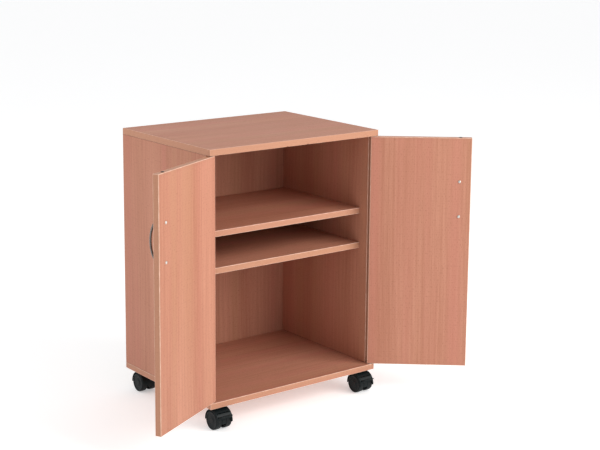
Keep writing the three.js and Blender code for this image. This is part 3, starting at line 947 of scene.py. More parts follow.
@dataclass
class FacedBoard:
    """A board with printed faces and rounded edge bands, and raw chipboard in its holes and sawn edges."""

    node: str
    body: str
    grain: Grain
    print_shift: Point2 = (0.0, 0.0)
    edge_radius: float = 1.2 * MM
    raw_rear: bool = False
    cut_ends: bool = False
    # How fast the dark line at a butt end widens: painted shade of the gap between the boards, over a glue
    # line.
    butt_shade_spread: float = 0.12
    rear_finish: Finish | None = None
    slot: str = "beech_board"

    def axes(self) -> tuple[Vector, Vector, Vector]:
        """The board's own axes, found from its mesh.

        Returns:
            The directions across the grain, along the grain and through the thickness.
        """
        mesh = frame["nodes"][self.node].data
        widest = max(mesh.polygons, key=lambda p: p.area)
        through = widest.normal.copy()
        along = Vector(self.grain.value)
        return along.cross(through).normalized(), along, through.normalized()

    def build(self) -> Piece:
        """Makes the faced board in place of its CAD node."""
        bm = bmesh.new()
        bm.from_mesh(frame["nodes"][self.node].data)
        bmesh.ops.remove_doubles(bm, verts=bm.verts, dist=1e-6)
        bmesh.ops.dissolve_limit(bm, angle_limit=math.radians(0.5), verts=bm.verts, edges=bm.edges)
        axes = self.axes()
        low = [min(v.co.dot(a) for v in bm.verts) for a in axes]
        high = [max(v.co.dot(a) for v in bm.verts) for a in axes]
        self._round_outline(bm, axes, low, high)
        mesh = self._mapped(bm, axes, low, high)
        finishes = [BEECH, BAND, CHIPBOARD, self.rear_finish or BEECH]
        piece = evened(finished(f"{self.node}_board", mesh, finishes))
        return settled(piece, self.slot, self.body, self.node)

    def _planes(
        self, point: Vector, axes: Sequence[Vector], low: Sequence[float], high: Sequence[float]
    ) -> set[tuple[int, int]]:
        """The outer planes of the board that a point lies on, as (axis, end)."""
        touched = set()
        for i, axis in enumerate(axes):
            distance = point.dot(axis)
            if distance - low[i] < TOUCHING:
                touched.add((i, 0))
            if high[i] - distance < TOUCHING:
                touched.add((i, 1))
        return touched

    def _banded(self, i: int, end: int, axes: Sequence[Vector]) -> bool:
        """Whether an outer plane is a face or a banded edge, and not a sawn one, which stays crisp."""
        outward = axes[i] if end else -axes[i]
        return not (self.cut_ends and i == 1) and not (self.raw_rear and outward.y > REARWARD)

    def _reach(self, i: int, end: int, axes: Sequence[Vector], place: float, span: Point2) -> float:
        """The "rim" distance from one edge. A sawn edge has no band, and a butt joint only a dark line: a
        glue line spread wide as painted shade of the gap between the boards.

        Args:
            i: The axis that runs to the edge.
            end: 0 for the edge at the axis's low end, 1 for the high one.
            axes: The board's axes.
            place: The point's place on the axis.
            span: The board's two ends on the axis.

        Returns:
            The distance in metres.
        """
        distance = span[1] - place if end else place - span[0]
        if self._banded(i, end, axes):
            return distance
        # A butt end gets the dark joint line spread away from the end, as painted shade of the gap between
        # boards.
        return BEECH.joint_place + self.butt_shade_spread * distance if self.cut_ends and i == 1 else 1.0

    def _round_outline(
        self, bm: BMesh, axes: Sequence[Vector], low: Sequence[float], high: Sequence[float]
    ) -> None:
        """Rounds the board's banded edges and leaves its sawn edges, holes and grooves crisp."""
        outline = []
        for edge in bm.edges:
            ends = [self._planes(vert.co, axes, low, high) for vert in edge.verts]
            shared = ends[0] & ends[1]
            if len(shared) >= 2 and all(self._banded(i, end, axes) for i, end in shared):
                outline.append(edge)
        bmesh.ops.bevel(
            bm,
            geom=outline,
            offset=self.edge_radius,
            offset_type="OFFSET",
            segments=3,
            profile=0.5,
            affect="EDGES",
            clamp_overlap=True,
        )

    def _mapped(
        self, bm: BMesh, axes: Sequence[Vector], low: Sequence[float], high: Sequence[float]
    ) -> Mesh:
        """Gives each face its finish, its place on the print and its distances to the board's edges."""
        uv = bm.loops.layers.uv.new("print")
        rim = bm.loops.layers.float_color.new("rim")
        corner = bm.loops.layers.float.new("corner")
        for face in bm.faces:
            face.normal_update()
            middle = face.calc_center_median()
            tilt = [abs(face.normal.dot(a)) for a in axes]
            outer = any(
                min(middle.dot(a) - low[i], high[i] - middle.dot(a)) < self.edge_radius and tilt[i] > 0.3
                for i, a in enumerate(axes)
            )
            facing = outer and tilt[2] > 0.999
            rounded = outer and max(tilt) < 0.999
            runs_along = tilt[1] < 0.6
            if facing:
                rearward = self.rear_finish is not None and face.normal.y > REARWARD
                face.material_index = 3 if rearward else 0
            elif outer:
                sawn = self.raw_rear and face.normal.y > REARWARD
                face.material_index = 2 if sawn else 1
            else:
                face.material_index = 2
            for loop in face.loops:
                place = [loop.vert.co.dot(a) for a in axes]
                if facing:
                    spot = (place[0], place[1])
                elif runs_along:
                    spot = (place[2], place[1])
                else:
                    spot = (place[2], place[0])
                loop[uv].uv = (spot[0] + self.print_shift[0], spot[1] + self.print_shift[1])
                reach = [
                    self._reach(i, end, axes, place[i], (low[i], high[i]))
                    for i in (0, 1)
                    for end in (0, 1)
                ]
                loop[rim] = reach if facing else (1.0, 1.0, 1.0, 1.0)
                # "corner" marks the rounded faces, which the band's material paints with a pale highlight
                # line.
                loop[corner] = 1.0 if rounded else 0.0
        mesh = bpy.data.meshes.new(self.node)
        bm.to_mesh(mesh)
        bm.free()
        return mesh


# ---- Fittings ---------------------------------------------------------------------------


@dataclass
class PanScrew:
    """A pan-head screw with a cross recess, drawn with its head's seat at z = 0 and its head towards +Z."""

    head_radius: float = 4.0 * MM
    head_height: float = 2.3 * MM
    shank_radius: float = 2.0 * MM
    length: float = 20.0 * MM
    recess_span: float = 4.4 * MM
    recess_width: float = 0.9 * MM
    recess_depth: float = 1.5 * MM
    recess_taper: Point2 = (0.45, 0.6)
    dome: float = 0.55

    def mesh(self) -> Mesh:
        """The screw's mesh."""
        r, h = self.head_radius, self.head_height
        angles = [math.radians(a) for a in range(12, 90, 6)]
        crown = [(r * math.cos(a) ** self.dome, h * math.sin(a)) for a in angles]
        shank = [
            (0.0, -self.length),
            (self.shank_radius * 0.7, -self.length),
            (self.shank_radius, -self.length + 0.9 * MM),
        ]
        profile = [*shank, (self.shank_radius, 0.0), (r - 0.15 * MM, 0.0), (r, 0.12 * MM), *crown, (0.0, h)]
        body = turned("pan_screw", profile, 48)
        half, wide = self.recess_span / 2, self.recess_width / 2
        floor, rise = h - self.recess_depth, h + 1.0 * MM
        bar = [(s * half, t * wide) for s, t in SQUARE]
        cutters = []
        for turn in (0, 90):
            slot = extruded("slot", bar, floor, rise, "z")
            for vert in slot.vertices:
                if vert.co.z < h:
                    vert.co.x *= self.recess_taper[0]
                    vert.co.y *= self.recess_taper[1]
            slot.transform(Matrix.Rotation(math.radians(turn), 4, "Z"))
            cutters.append(("DIFFERENCE", slot))
        return combined(body, cutters, 0.08 * MM)


@dataclass
class ShelfPegs:
    """The steel pegs under both shelves."""

    radius: float = 2.5 * MM

    def build(self, recipe: NodeRecipe) -> Piece:
        """Makes all the pegs as one piece on the cabinet."""
        nodes = sorted(n for n in frame["nodes"] if "_shelf_pin_" in n)
        low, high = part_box(nodes[0])
        length = high.x - low.x
        inner = min(abs(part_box("right_side_panel")[0].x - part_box(n)[0].x) for n in nodes if "right" in n)
        profile = filleted(
            [
                (0, -length / 2, 0),
                (self.radius, -length / 2, 0.6 * MM),
                (self.radius, length / 2 - inner, 0),
                (self.radius, length / 2, 0.7 * MM),
                (0, length / 2, 0),
            ],
            4,
        )
        peg = turned("shelf_peg", profile, 32, "x")
        points = [sum(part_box(n), Vector()) / 2 for n in nodes]
        turns = [Vector((0, 0, 0 if "left" in n else math.pi)) for n in nodes]
        mesh = placed_copies(recipe, "shelf_pegs", peg, points, turns, ZINC)
        return settled(finished("shelf_pegs", mesh, [ZINC]), "zinc_steel", "cabinet", *nodes)


@dataclass
class PivotFittings:
    """The flanged bushes and catch plates of the body."""

    bore: float = 3.3 * MM

    def bush(self, node: str, upward: bool) -> Mesh:
        """One bush, in place of its CAD node.

        Args:
            node: The CAD node.
            upward: Whether the sleeve points up, as in the top panel.

        Returns:
            The bush's mesh in the row frame.
        """
        low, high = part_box(node)
        rim = (high.x - low.x) / 2
        sleeve = rim - 1.0 * MM
        flange = 0.9 * MM
        length = high.z - low.z
        profile = filleted(
            [
                (self.bore, 0, 0.25 * MM),
                (rim, 0, 0.35 * MM),
                (rim, flange, 0.15 * MM),
                (sleeve, flange, 0),
                (sleeve, length, 0.4 * MM),
                (self.bore, length, 0.2 * MM),
            ],
            3,
        )
        mesh = turned(node, profile, 48)
        flip = Matrix.Identity(4) if upward else Matrix.Rotation(math.pi, 4, "X")
        base = Vector(((low.x + high.x) / 2, (low.y + high.y) / 2, low.z if upward else high.z))
        mesh.transform(Matrix.Translation(base) @ flip)
        return mesh

    def build(self, recipe: NodeRecipe) -> None:
        """Makes the bushes and the catch plates."""
        for side in ("left", "right"):
            for level in ("upper", "lower"):
                node = f"{side}_{level}_hinge_bush"
                piece = finished(f"{node}_turned", self.bush(node, level == "upper"), [GREY_NYLON])
                settled(piece, "grey_nylon", "cabinet", node)
        nodes = ["left_catch_strike", "right_catch_strike"]
        low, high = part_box(nodes[0])
        radius, thickness = (high.x - low.x) / 2, high.z - low.z
        profile = filleted(
            [(0, 0.3 * MM, 0), (1.2 * MM, 0.3 * MM, 0), (2.4 * MM, 0, 0.2 * MM), (radius, 0, 0.3 * MM)], 3
        )
        disc = turned("catch_plate", [*profile, (radius, thickness), (0, thickness)], 56)
        points = [Vector(((a.x + b.x) / 2, (a.y + b.y) / 2, a.z)) for a, b in map(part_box, nodes)]
        mesh = placed_copies(recipe, "catch_plates", disc, points, [Vector()] * 2, ZINC)
        settled(finished("catch_plates", mesh, [ZINC]), "zinc_steel", "cabinet", *nodes)


# ---- Doors ------------------------------------------------------------------------------


def bow_recipe() -> NodeRecipe:
    """A tree that sweeps an oval bar along a bow of half an ellipse, and sets a foot at each end."""
    recipe = NodeRecipe(
        "handle_bow",
        {
            "Pitch": ("NodeSocketFloat", 0.096),
            "Reach": ("NodeSocketFloat", 0.026),
            "Rise": ("NodeSocketFloat", 0.0045),
            "Bar Radius": ("NodeSocketFloat", 0.003),
            "Foot": ("NodeSocketObject", None),
        },
    )
    inputs = recipe.inputs
    line = recipe.node("GeometryNodeCurvePrimitiveLine", {}, {"End": (0.0, 0.0, 1.0)})
    path = recipe.node("GeometryNodeResampleCurve", {}, {"Curve": line.outputs[0], "Count": 65})
    t = recipe.node("GeometryNodeSplineParameter").outputs["Factor"]
    angle = recipe.math("MULTIPLY", t, math.pi)
    reach = recipe.math("SUBTRACT", inputs["Reach"], inputs["Rise"])
    bulge = recipe.math("MULTIPLY", reach, recipe.math("SINE", angle))
    out = recipe.math("MULTIPLY", recipe.math("ADD", bulge, inputs["Rise"]), -1.0)
    half = recipe.math("MULTIPLY", inputs["Pitch"], -0.5)
    up = recipe.math("MULTIPLY", half, recipe.math("COSINE", angle))
    spot = recipe.vector(0.0, out, up)
    bent = recipe.node("GeometryNodeSetPosition", {}, {"Geometry": path.outputs[0], "Position": spot})
    swell = recipe.math("POWER", recipe.math("ABSOLUTE", recipe.math("COSINE", angle)), 6.0)
    girth = recipe.math("ADD", recipe.math("MULTIPLY", swell, 0.35), 0.95)
    thick = recipe.node("GeometryNodeSetCurveRadius", {}, {"Curve": bent.outputs[0], "Radius": girth})
    sockets = {"Resolution": 28, "Radius": inputs["Bar Radius"]}
    ring = recipe.node("GeometryNodeCurvePrimitiveCircle", {}, sockets)
    oval = recipe.node("GeometryNodeTransform", {}, {"Geometry": ring.outputs[0], "Scale": (1.12, 0.9, 1.0)})
    bar = recipe.node(
        "GeometryNodeCurveToMesh",
        {},
        {"Curve": thick.outputs[0], "Profile Curve": oval.outputs[0], "Fill Caps": True},
    )
    if "Scale" in bar.inputs:
        recipe.tree.links.new(girth, bar.inputs["Scale"])
    feet = recipe.instances(inputs["Geometry"], recipe.template("Foot"))
    whole = recipe.node("GeometryNodeJoinGeometry")
    for part in (feet, bar.outputs[0]):
        recipe.tree.links.new(part, whole.inputs[0])
    recipe.end(whole.outputs[0])
    return recipe


@dataclass
class Door:
    """One door: its board, handle, screws, hinge pins and magnetic catch."""

    side: str
    print_shift: Point2
    bow: NodeRecipe
    copies: NodeRecipe
    screw: PanScrew
    handle_rise: float = 4.5 * MM
    bar_radius: float = 3.0 * MM
    foot_radius: float = 5.0 * MM
    foot_height: float = 9.0 * MM

    def __post_init__(self) -> None:
        """Finds the door's own axes: x towards its free edge, y through it towards its inner face."""
        self.body = f"{self.side}_door"
        hinge = joint(f"{self.side}_door_hinge")
        origin = Vector(hinge["pos_m"])
        origin.z = 0.0
        handle = sum(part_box(f"{self.side}_door_handle"), Vector()) / 2
        widest = max(frame["nodes"][self.body].data.polygons, key=lambda p: p.area)
        inward = widest.normal.copy().normalized()
        if (handle - sum(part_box(self.body), Vector()) / 2).dot(inward) > 0:
            inward.negate()
        up = Vector((0, 0, 1))
        self.place = Place(origin, inward.cross(up), inward, up)

    def build(self) -> None:
        """Makes the door's pieces."""
        FacedBoard(self.body, self.body, Grain.UPRIGHT, self.print_shift).build()
        self._handle()
        self._screws()
        self._hinge_pins()
        self._catch()

    def _handle(self) -> None:
        """The bow handle, with its two round feet."""
        node = f"{self.side}_door_handle"
        low, high = self.place.span(node)
        pitch = high.z - low.z - 2 * self.foot_radius
        reach = high.y - low.y + 0.3 * MM - self.bar_radius
        middle = self.place.middle(node)
        face = self.place.span(self.body)[0].y
        seat = high.y - face
        foot = turned(
            "handle_foot",
            filleted(
                [
                    (0, seat, 0),
                    (self.foot_radius, seat, 0.4 * MM),
                    (self.foot_radius, seat - 2.4 * MM, 0.8 * MM),
                    (self.bar_radius * 1.25, seat - 5.0 * MM, 2.5 * MM),
                    (self.bar_radius * 1.2, -self.foot_height, 1.2 * MM),
                    (0, -self.foot_height, 0),
                ],
                5,
            ),
            48,
            "y",
        )
        pattern = scratch(foot)
        base = bpy.data.meshes.new("handle_ends")
        base.from_pydata([(0, 0, -pitch / 2), (0, 0, pitch / 2)], [], [])
        mesh = self.bow.bake(
            base,
            NICKEL_PAINTED_DARK,
            pitch=pitch,
            reach=reach,
            rise=self.handle_rise,
            bar_radius=self.bar_radius,
            foot=pattern,
        )
        bpy.data.objects.remove(pattern)
        mesh.transform(self.place.matrix() @ Matrix.Translation((middle.x, face, middle.z)))
        settled(finished(f"{node}_bow", mesh, [NICKEL_PAINTED_DARK]), "satin_handle", self.body, node)

    def _screws(self) -> None:
        """The two handle screws, whose heads lie on the inner face."""
        nodes = [f"{self.side}_handle_screw_{level}" for level in ("upper", "lower")]
        seat = self.place.span(self.body)[1].y
        points, turns = [], []
        for i, node in enumerate(nodes):
            spot = self.place.middle(node)
            points.append(Vector((spot.x, seat + 0.02 * MM, spot.z)))
            turns.append(Vector((-math.pi / 2, 0.5 + 1.1 * i, 0)))
        mesh = placed_copies(self.copies, "screws", self.screw.mesh(), points, turns, ZINC)
        mesh.transform(self.place.matrix())
        settled(finished(f"{self.side}_handle_screws", mesh, [ZINC]), "zinc_steel", self.body, *nodes)

    def _hinge_pins(self) -> None:
        """The two pivot pins in the door's ends."""
        nodes = [f"{self.side}_{level}_hinge_pin" for level in ("upper", "lower")]
        parts = []
        for node in nodes:
            low, high = self.place.span(node)
            radius = (high.x - low.x) / 2
            profile = filleted(
                [(0, low.z, 0), (radius, low.z, 0.7 * MM), (radius, high.z, 0.7 * MM), (0, high.z, 0)], 4
            )
            middle = self.place.middle(node)
            parts.append(moved(turned(node, profile, 40), Matrix.Translation((middle.x, middle.y, 0))))
        mesh = joined("hinge_pins", parts)
        mesh.transform(self.place.matrix())
        settled(finished(f"{self.side}_hinge_pins", mesh, [ZINC]), "zinc_steel", self.body, *nodes)

    def _catch(self) -> None:
        """The magnetic catch: a collared plug whose domed end stands just proud of the door's top edge."""
        node = f"{self.side}_catch_magnet"
        low, high = self.place.span(node)
        radius = (high.x - low.x) / 2
        edge = self.place.span(self.body)[1].z
        proud = high.z - edge
        profile = filleted(
            [
                (0, low.z, 0),
                (radius - 0.3 * MM, low.z, 0.6 * MM),
                (radius - 0.3 * MM, edge + 0.05 * MM, 0),
                (radius, edge + 0.05 * MM, 0),
                (radius, edge + 0.45 * proud, 0.3 * MM),
                (radius * 0.72, high.z, 0.5 * MM),
                (radius * 0.50, high.z, 0.1 * MM),
                (radius * 0.46, high.z - 0.35 * MM, 0.1 * MM),
                (0, high.z - 0.35 * MM, 0),
            ],
            4,
        )
        middle = self.place.middle(node)
        mesh = turned(node, profile, 48)
        mesh.transform(self.place.matrix() @ Matrix.Translation((middle.x, middle.y, 0)))
        settled(finished(f"{node}_stud", mesh, [BLACK_NYLON]), "catch_black", self.body, node)


# ---- Castors ----------------------------------------------------------------------------


@dataclass
class CastorShapes:
    """The meshes that the castors share, drawn about the swivel axis, with the floor at z = 0."""

    wheel_radius: float = 25.0 * MM
    wheel_inner: float = 7.3 * MM
    wheel_outer: float = 24.0 * MM
    trail: float = 12.0 * MM
    web: float = 13.0 * MM
    hood_inner: float = 26.4 * MM
    hood_outer: float = 29.8 * MM
    hood_skirt: float = 3.0 * MM
    web_skirt: float = 8.0 * MM
    shoulder: float = 2.6 * MM
    boss_radius: float = 11.0 * MM
    boss_top: float = 55.4 * MM
    stem_bore: float = 4.3 * MM
    stem_bore_floor: float = 31.2 * MM
    axle_bore: float = 3.3 * MM
    window_inner: float = 24.7 * MM
    window_half_width: float = 19.4 * MM
    window_low: float = -40.0
    window_high: float = 50.0
    pivot_degrees: float = 43.0
    lever_half_width: float = 19.0 * MM
    lever_inner: float = 27.6 * MM
    lever_wall: float = 2.6 * MM
    shoe_degrees: float = 16.0
    tab_degrees: float = 28.0
    tab_slope: float = 14.0
    tab_thickness: float = 3.0 * MM
    tab_reach: float = 12.0 * MM
    barrel_radius: float = 2.3 * MM

    @property
    def axle(self) -> Point2:
        """The axle's place in Y and Z."""
        return (-self.trail, self.wheel_radius)

    def round_axle(self, radius: float, degrees: float) -> Point2:
        """A point round the axle in Y and Z: 0 degrees looks forward and 90 up."""
        a = math.radians(degrees)
        return (self.axle[0] - radius * math.cos(a), self.axle[1] + radius * math.sin(a))

    def sector(self, inner: float, outer: float, low: float, high: float, steps: int) -> list[Point2]:
        """The outline of a ring sector round the axle, between two angles measured as in round_axle."""
        inside = [self.round_axle(inner, low + (high - low) * k / steps) for k in range(steps + 1)]
        outside = [self.round_axle(outer, high + (low - high) * k / steps) for k in range(steps + 1)]
        return inside + outside

    def hood(self, braked: bool) -> Mesh:
        """The hood: an arch over both wheels, the web between them and the swivel boss.

        Args:
            braked: Whether it has the brake lever's window.

        Returns:
            The hood's mesh.
        """
        half = self.wheel_outer
        skirt = math.degrees(math.asin(self.hood_skirt / self.hood_outer))
        profile = filleted(
            [
                (self.hood_inner, -half, 0.5 * MM),
                (self.hood_outer, -half, self.shoulder),
                (self.hood_outer, half, self.shoulder),
                (self.hood_inner, half, 0.5 * MM),
            ],
            6,
        )
        arch = self._swept(profile, -skirt, 180 + skirt, 112)
        drop = math.degrees(math.asin(self.web_skirt / self.hood_outer))
        web = arc(self.axle, self.hood_outer - 0.4 * MM, -drop, 180 + drop, 96)
        steps = [
            ("UNION", extruded("web", web, -self.web / 2, self.web / 2, "x")),
            ("UNION", self._boss()),
        ]
        if braked:
            past = self.hood_outer + 4 * MM
            window = self.sector(self.window_inner, past, self.window_low, self.window_high, 48)
            across = self.window_half_width
            steps.append(("DIFFERENCE", extruded("window", window, -across, across, "x")))
        steps.append(("DIFFERENCE", self._rod(self.axle_bore, self.axle, self.web)))
        bore = drum("bore", self.stem_bore, self.stem_bore_floor, self.boss_top + 5 * MM)
        steps.append(("DIFFERENCE", bore))
        mesh = combined(arch, steps, 0.35 * MM)
        set_amount(mesh, "worn", self._hood_wear)
        return mesh

    def _hood_wear(self, point: Vector) -> float:
        """Scuffing, which is strongest along the hood's side shoulders and its lower ends."""
        shoulder = max(0.0, (abs(point.x) - (self.wheel_outer - 3 * MM)) / (3 * MM))
        low = max(0.0, (26 * MM - point.z) / (10 * MM))
        return 0.45 * min(1.0, shoulder) + 0.35 * min(1.0, low)

    def _swept(self, profile: Sequence[Point2], low: float, high: float, steps: int) -> Mesh:
        """A (radius, x) profile swept round the axle between two angles, with closed ends."""
        bm = bmesh.new()
        rings = []
        for k in range(steps + 1):
            degrees = low + (high - low) * k / steps
            ring = [bm.verts.new((x, *self.round_axle(r, degrees))) for r, x in profile]
            rings.append(ring)
        count = len(profile)
        for one, two in zip(rings, rings[1:]):
            for i in range(count):
                n = (i + 1) % count
                bm.faces.new((one[i], one[n], two[n], two[i]))
        bm.faces.new(rings[0])
        bm.faces.new(rings[-1][::-1])
        return new_mesh("arch", bm)

    def _boss(self) -> Mesh:
        """The swivel boss: a round post from below the inside of the arch to just above its top."""
        floor = self.wheel_radius + self.hood_inner * 0.86
        r, top = self.boss_radius, self.boss_top
        profile = filleted([(0, floor, 0), (r, floor, 0), (r, top, 0.5 * MM), (0, top, 0)], 4)
        return turned("boss", profile, 64)

    def _rod(self, radius: float, centre: Point2, length: float) -> Mesh:
        """A round bar along X about the middle plane."""
        rod = drum("rod", radius, -length, length, axis="x")
        rod.transform(Matrix.Translation((0, *centre)))
        return rod

    def wheel(self) -> Mesh:
        """The wheel on the +X side, with a crowned tread, a stepped outer face and a hub cap."""
        r, inside, outside = self.wheel_radius, self.wheel_inner, self.wheel_outer
        profile = filleted(
            [
                (0, outside - 0.35 * MM, 0),
                (r * 0.30, outside - 0.35 * MM, 0.7 * MM),
                (r * 0.34, outside - 1.3 * MM, 0.3 * MM),
                (r * 0.38, outside - 1.3 * MM, 0.3 * MM),
                (r * 0.40, outside - 0.8 * MM, 0.3 * MM),
                (r * 0.43, outside - 0.8 * MM, 0.3 * MM),
                (r * 0.47, outside - 1.6 * MM, 1.0 * MM),
                (r * 0.76, outside - 1.6 * MM, 1.0 * MM),
                (r * 0.83, outside - 0.05 * MM, 0.8 * MM),
                (r - 0.4 * MM, outside - 0.05 * MM, 2.4 * MM),
                (r, inside + 9.0 * MM, 12.0 * MM),
                (r - 0.15 * MM, inside, 1.1 * MM),
                (r - 3.2 * MM, inside, 0.3 * MM),
                (r - 3.8 * MM, inside + 3.0 * MM, 0.6 * MM),
                (6.2 * MM, inside + 3.0 * MM, 0.6 * MM),
                (5.6 * MM, inside, 0.3 * MM),
                (self.axle_bore, inside, 0.2 * MM),
                (self.axle_bore, outside - 3.7 * MM, 0),
                (0, outside - 3.7 * MM, 0),
            ],
            5,
        )
        mesh = turned("wheel", profile, 96, "x")
        ribs = self._wheel_ribs()
        mesh = joined("wheel", [mesh, ribs])

        def worn(point: Vector) -> float:
            """How far the tread is scuffed: fully over the rolling face, less on the shoulders."""
            away = math.hypot(point.y, point.z)
            return max(0.0, min(1.0, (away - (r - 1.4 * MM)) / (1.2 * MM)))

        set_amount(mesh, "worn", worn)
        return mesh

    def _wheel_ribs(self) -> Mesh:
        """The stiffening ribs in the wheel's inner recess."""
        recipe = NodeRecipe(
            "wheel_ribs",
            {
                "Count": ("NodeSocketInt", 8),
                "Inner": ("NodeSocketFloat", 0.006),
                "Outer": ("NodeSocketFloat", 0.0215),
                "Depth": ("NodeSocketFloat", 0.003),
                "Thickness": ("NodeSocketFloat", 0.0012),
                "Plane": ("NodeSocketFloat", 0.0088),
            },
        )
        inputs = recipe.inputs
        length = recipe.math("SUBTRACT", inputs["Outer"], inputs["Inner"])
        size = recipe.vector(inputs["Depth"], inputs["Thickness"], length)
        rib = recipe.node("GeometryNodeMeshCube", {}, {"Size": size})
        half = recipe.math("MULTIPLY", recipe.math("ADD", inputs["Outer"], inputs["Inner"]), 0.5)
        shift = recipe.vector(inputs["Plane"], 0.0, half)
        raised = recipe.node("GeometryNodeTransform", {}, {"Geometry": rib.outputs[0], "Translation": shift})
        dots = recipe.node("GeometryNodePoints", {}, {"Count": inputs["Count"]})
        index = recipe.node("GeometryNodeInputIndex").outputs[0]
        step = recipe.math("DIVIDE", 2 * math.pi, inputs["Count"])
        spin = recipe.vector(recipe.math("MULTIPLY", index, step))
        recipe.end(recipe.instances(dots.outputs[0], raised.outputs[0], spin))
        base = bpy.data.meshes.new("wheel_ribs")
        return recipe.bake(base, TREAD_NYLON, plane=self.wheel_inner + 1.7 * MM)

    def plate(self, half: float, top: float, thickness: float, hole_inset: float) -> Mesh:
        """The mounting plate with its raceway rings and swivel stem.

        Args:
            half: Half the plate's width.
            top: The plate's upper face.
            thickness: Its thickness.
            hole_inset: From its edges to its screw holes.

        Returns:
            The plate's mesh.
        """
        round_corner = 5.0 * MM
        outline = filleted([(s * half, t * half, round_corner) for s, t in SQUARE], 10)
        under = top - thickness
        base = extruded("plate", outline, under, top, "z")
        gap = self.boss_top + 0.3 * MM
        neck = filleted(
            [
                (0, gap, 0),
                (self.boss_radius * 0.96, gap, 0.25 * MM),
                (self.boss_radius, gap + 0.7 * MM, 0.25 * MM),
                (self.boss_radius * 0.88, gap + 1.1 * MM, 0.2 * MM),
                (self.boss_radius * 1.25, under + 0.6 * MM, 0.6 * MM),
                (0, under + 0.6 * MM, 0),
            ],
            4,
        )
        stem_low = self.stem_bore_floor + 0.3 * MM
        stem_top = under + 1 * MM
        stem = [
            (0, stem_low),
            (3.4 * MM, stem_low),
            (4.0 * MM, stem_low + 0.8 * MM),
            (4.0 * MM, stem_top),
            (0, stem_top),
        ]
        steps = [("UNION", turned("neck", neck, 72)), ("UNION", turned("stem", stem, 40))]
        at = half - hole_inset
        for x in (-at, at):
            for y in (-at, at):
                hole = drum("hole", 2.2 * MM, under - 1 * MM, top + 1 * MM, 28)
                hole.transform(Matrix.Translation((x, y, 0)))
                steps.append(("DIFFERENCE", hole))
        mesh = combined(base, steps, 0.25 * MM)
        set_amount(mesh, "worn", lambda point: 0.0)
        return mesh

    def lever(self) -> Mesh:
        """The brake lever: barrel, shoe and a ribbed foot tab with rounded front corners."""
        inner, outer = self.lever_inner, self.lever_inner + self.lever_wall
        shoe = extruded(
            "shoe",
            self.sector(inner, outer, self.shoe_degrees, self.pivot_degrees - 1, 24),
            -self.lever_half_width,
            self.lever_half_width,
            "x",
        )
        pivot = self.round_axle((self.hood_inner + self.hood_outer) / 2, self.pivot_degrees)
        steps = [
            ("UNION", self._rod(self.barrel_radius, pivot, self.lever_half_width)),
            ("UNION", self._tab()),
            ("DIFFERENCE", self._rod(1.1 * MM, pivot, self.lever_half_width * 1.2)),
        ]
        mesh = combined(shoe, steps, 0.3 * MM)
        mesh = joined("lever", [mesh, self._tab_ribs()])
        tip = -self.trail - self.hood_outer

        def worn(point: Vector) -> float:
            """Rubbing by feet, which grows towards the tab's tip."""
            return max(0.0, min(1.0, (tip - point.y) / (8 * MM)))

        set_amount(mesh, "worn", worn)
        return mesh

    def _tab_matrix(self) -> Matrix:
        """From the tab's own axes, y forward along it and z through it, to the castor's axes."""
        root = self.round_axle(self.lever_inner + self.lever_wall / 2, self.tab_degrees)
        return Matrix.Translation((0, *root)) @ Matrix.Rotation(-math.radians(self.tab_slope), 4, "X")

    def _tab(self) -> Mesh:
        """The foot tab, whose underside thins towards a rounded nose."""
        half = self.lever_half_width
        length = self.hood_outer + self.tab_reach - self.lever_inner - self.lever_wall / 2
        thick = self.tab_thickness / 2
        nose = 4.5 * MM
        plan = filleted([(-half, 0, 0), (-half, -length, nose), (half, -length, nose), (half, 0, 0)], 8)
        tab = extruded("tab", plan, -thick, thick, "z")
        for vert in tab.vertices:
            if vert.co.z < 0:
                vert.co.z += 0.9 * MM * max(0.0, -vert.co.y / length)
        tab.transform(self._tab_matrix())
        return tab

    def _tab_ribs(self) -> Mesh:
        """The grip ribs across the top of the tab."""
        recipe = NodeRecipe(
            "tab_ribs",
            {
                "Count": ("NodeSocketInt", 4),
                "Width": ("NodeSocketFloat", 0.026),
                "Spacing": ("NodeSocketFloat", 0.0021),
                "Radius": ("NodeSocketFloat", 0.0005),
                "Height": ("NodeSocketFloat", 0.0015),
                "Start": ("NodeSocketFloat", 0.003),
            },
        )
        inputs = recipe.inputs
        half = recipe.math("MULTIPLY", inputs["Width"], 0.5)
        back = recipe.math("MULTIPLY", half, -1.0)
        ends = {"Start": recipe.vector(back), "End": recipe.vector(half)}
        line = recipe.node("GeometryNodeCurvePrimitiveLine", {}, ends)
        sockets = {"Resolution": 12, "Radius": inputs["Radius"]}
        ring = recipe.node("GeometryNodeCurvePrimitiveCircle", {}, sockets)
        rib = recipe.node(
            "GeometryNodeCurveToMesh",
            {},
            {"Curve": line.outputs[0], "Profile Curve": ring.outputs[0], "Fill Caps": True},
        )
        index = recipe.node("GeometryNodeInputIndex").outputs[0]
        along = recipe.math("ADD", recipe.math("MULTIPLY", index, inputs["Spacing"]), inputs["Start"])
        spot = recipe.vector(0.0, recipe.math("MULTIPLY", along, -1.0), inputs["Height"])
        dots = recipe.node("GeometryNodePoints", {}, {"Count": inputs["Count"], "Position": spot})
        recipe.end(recipe.instances(dots.outputs[0], rib.outputs[0]))
        base = bpy.data.meshes.new("tab_ribs")
        mesh = recipe.bake(base, BLACK_NYLON, start=2.6 * MM)
        mesh.transform(self._tab_matrix())
        return mesh


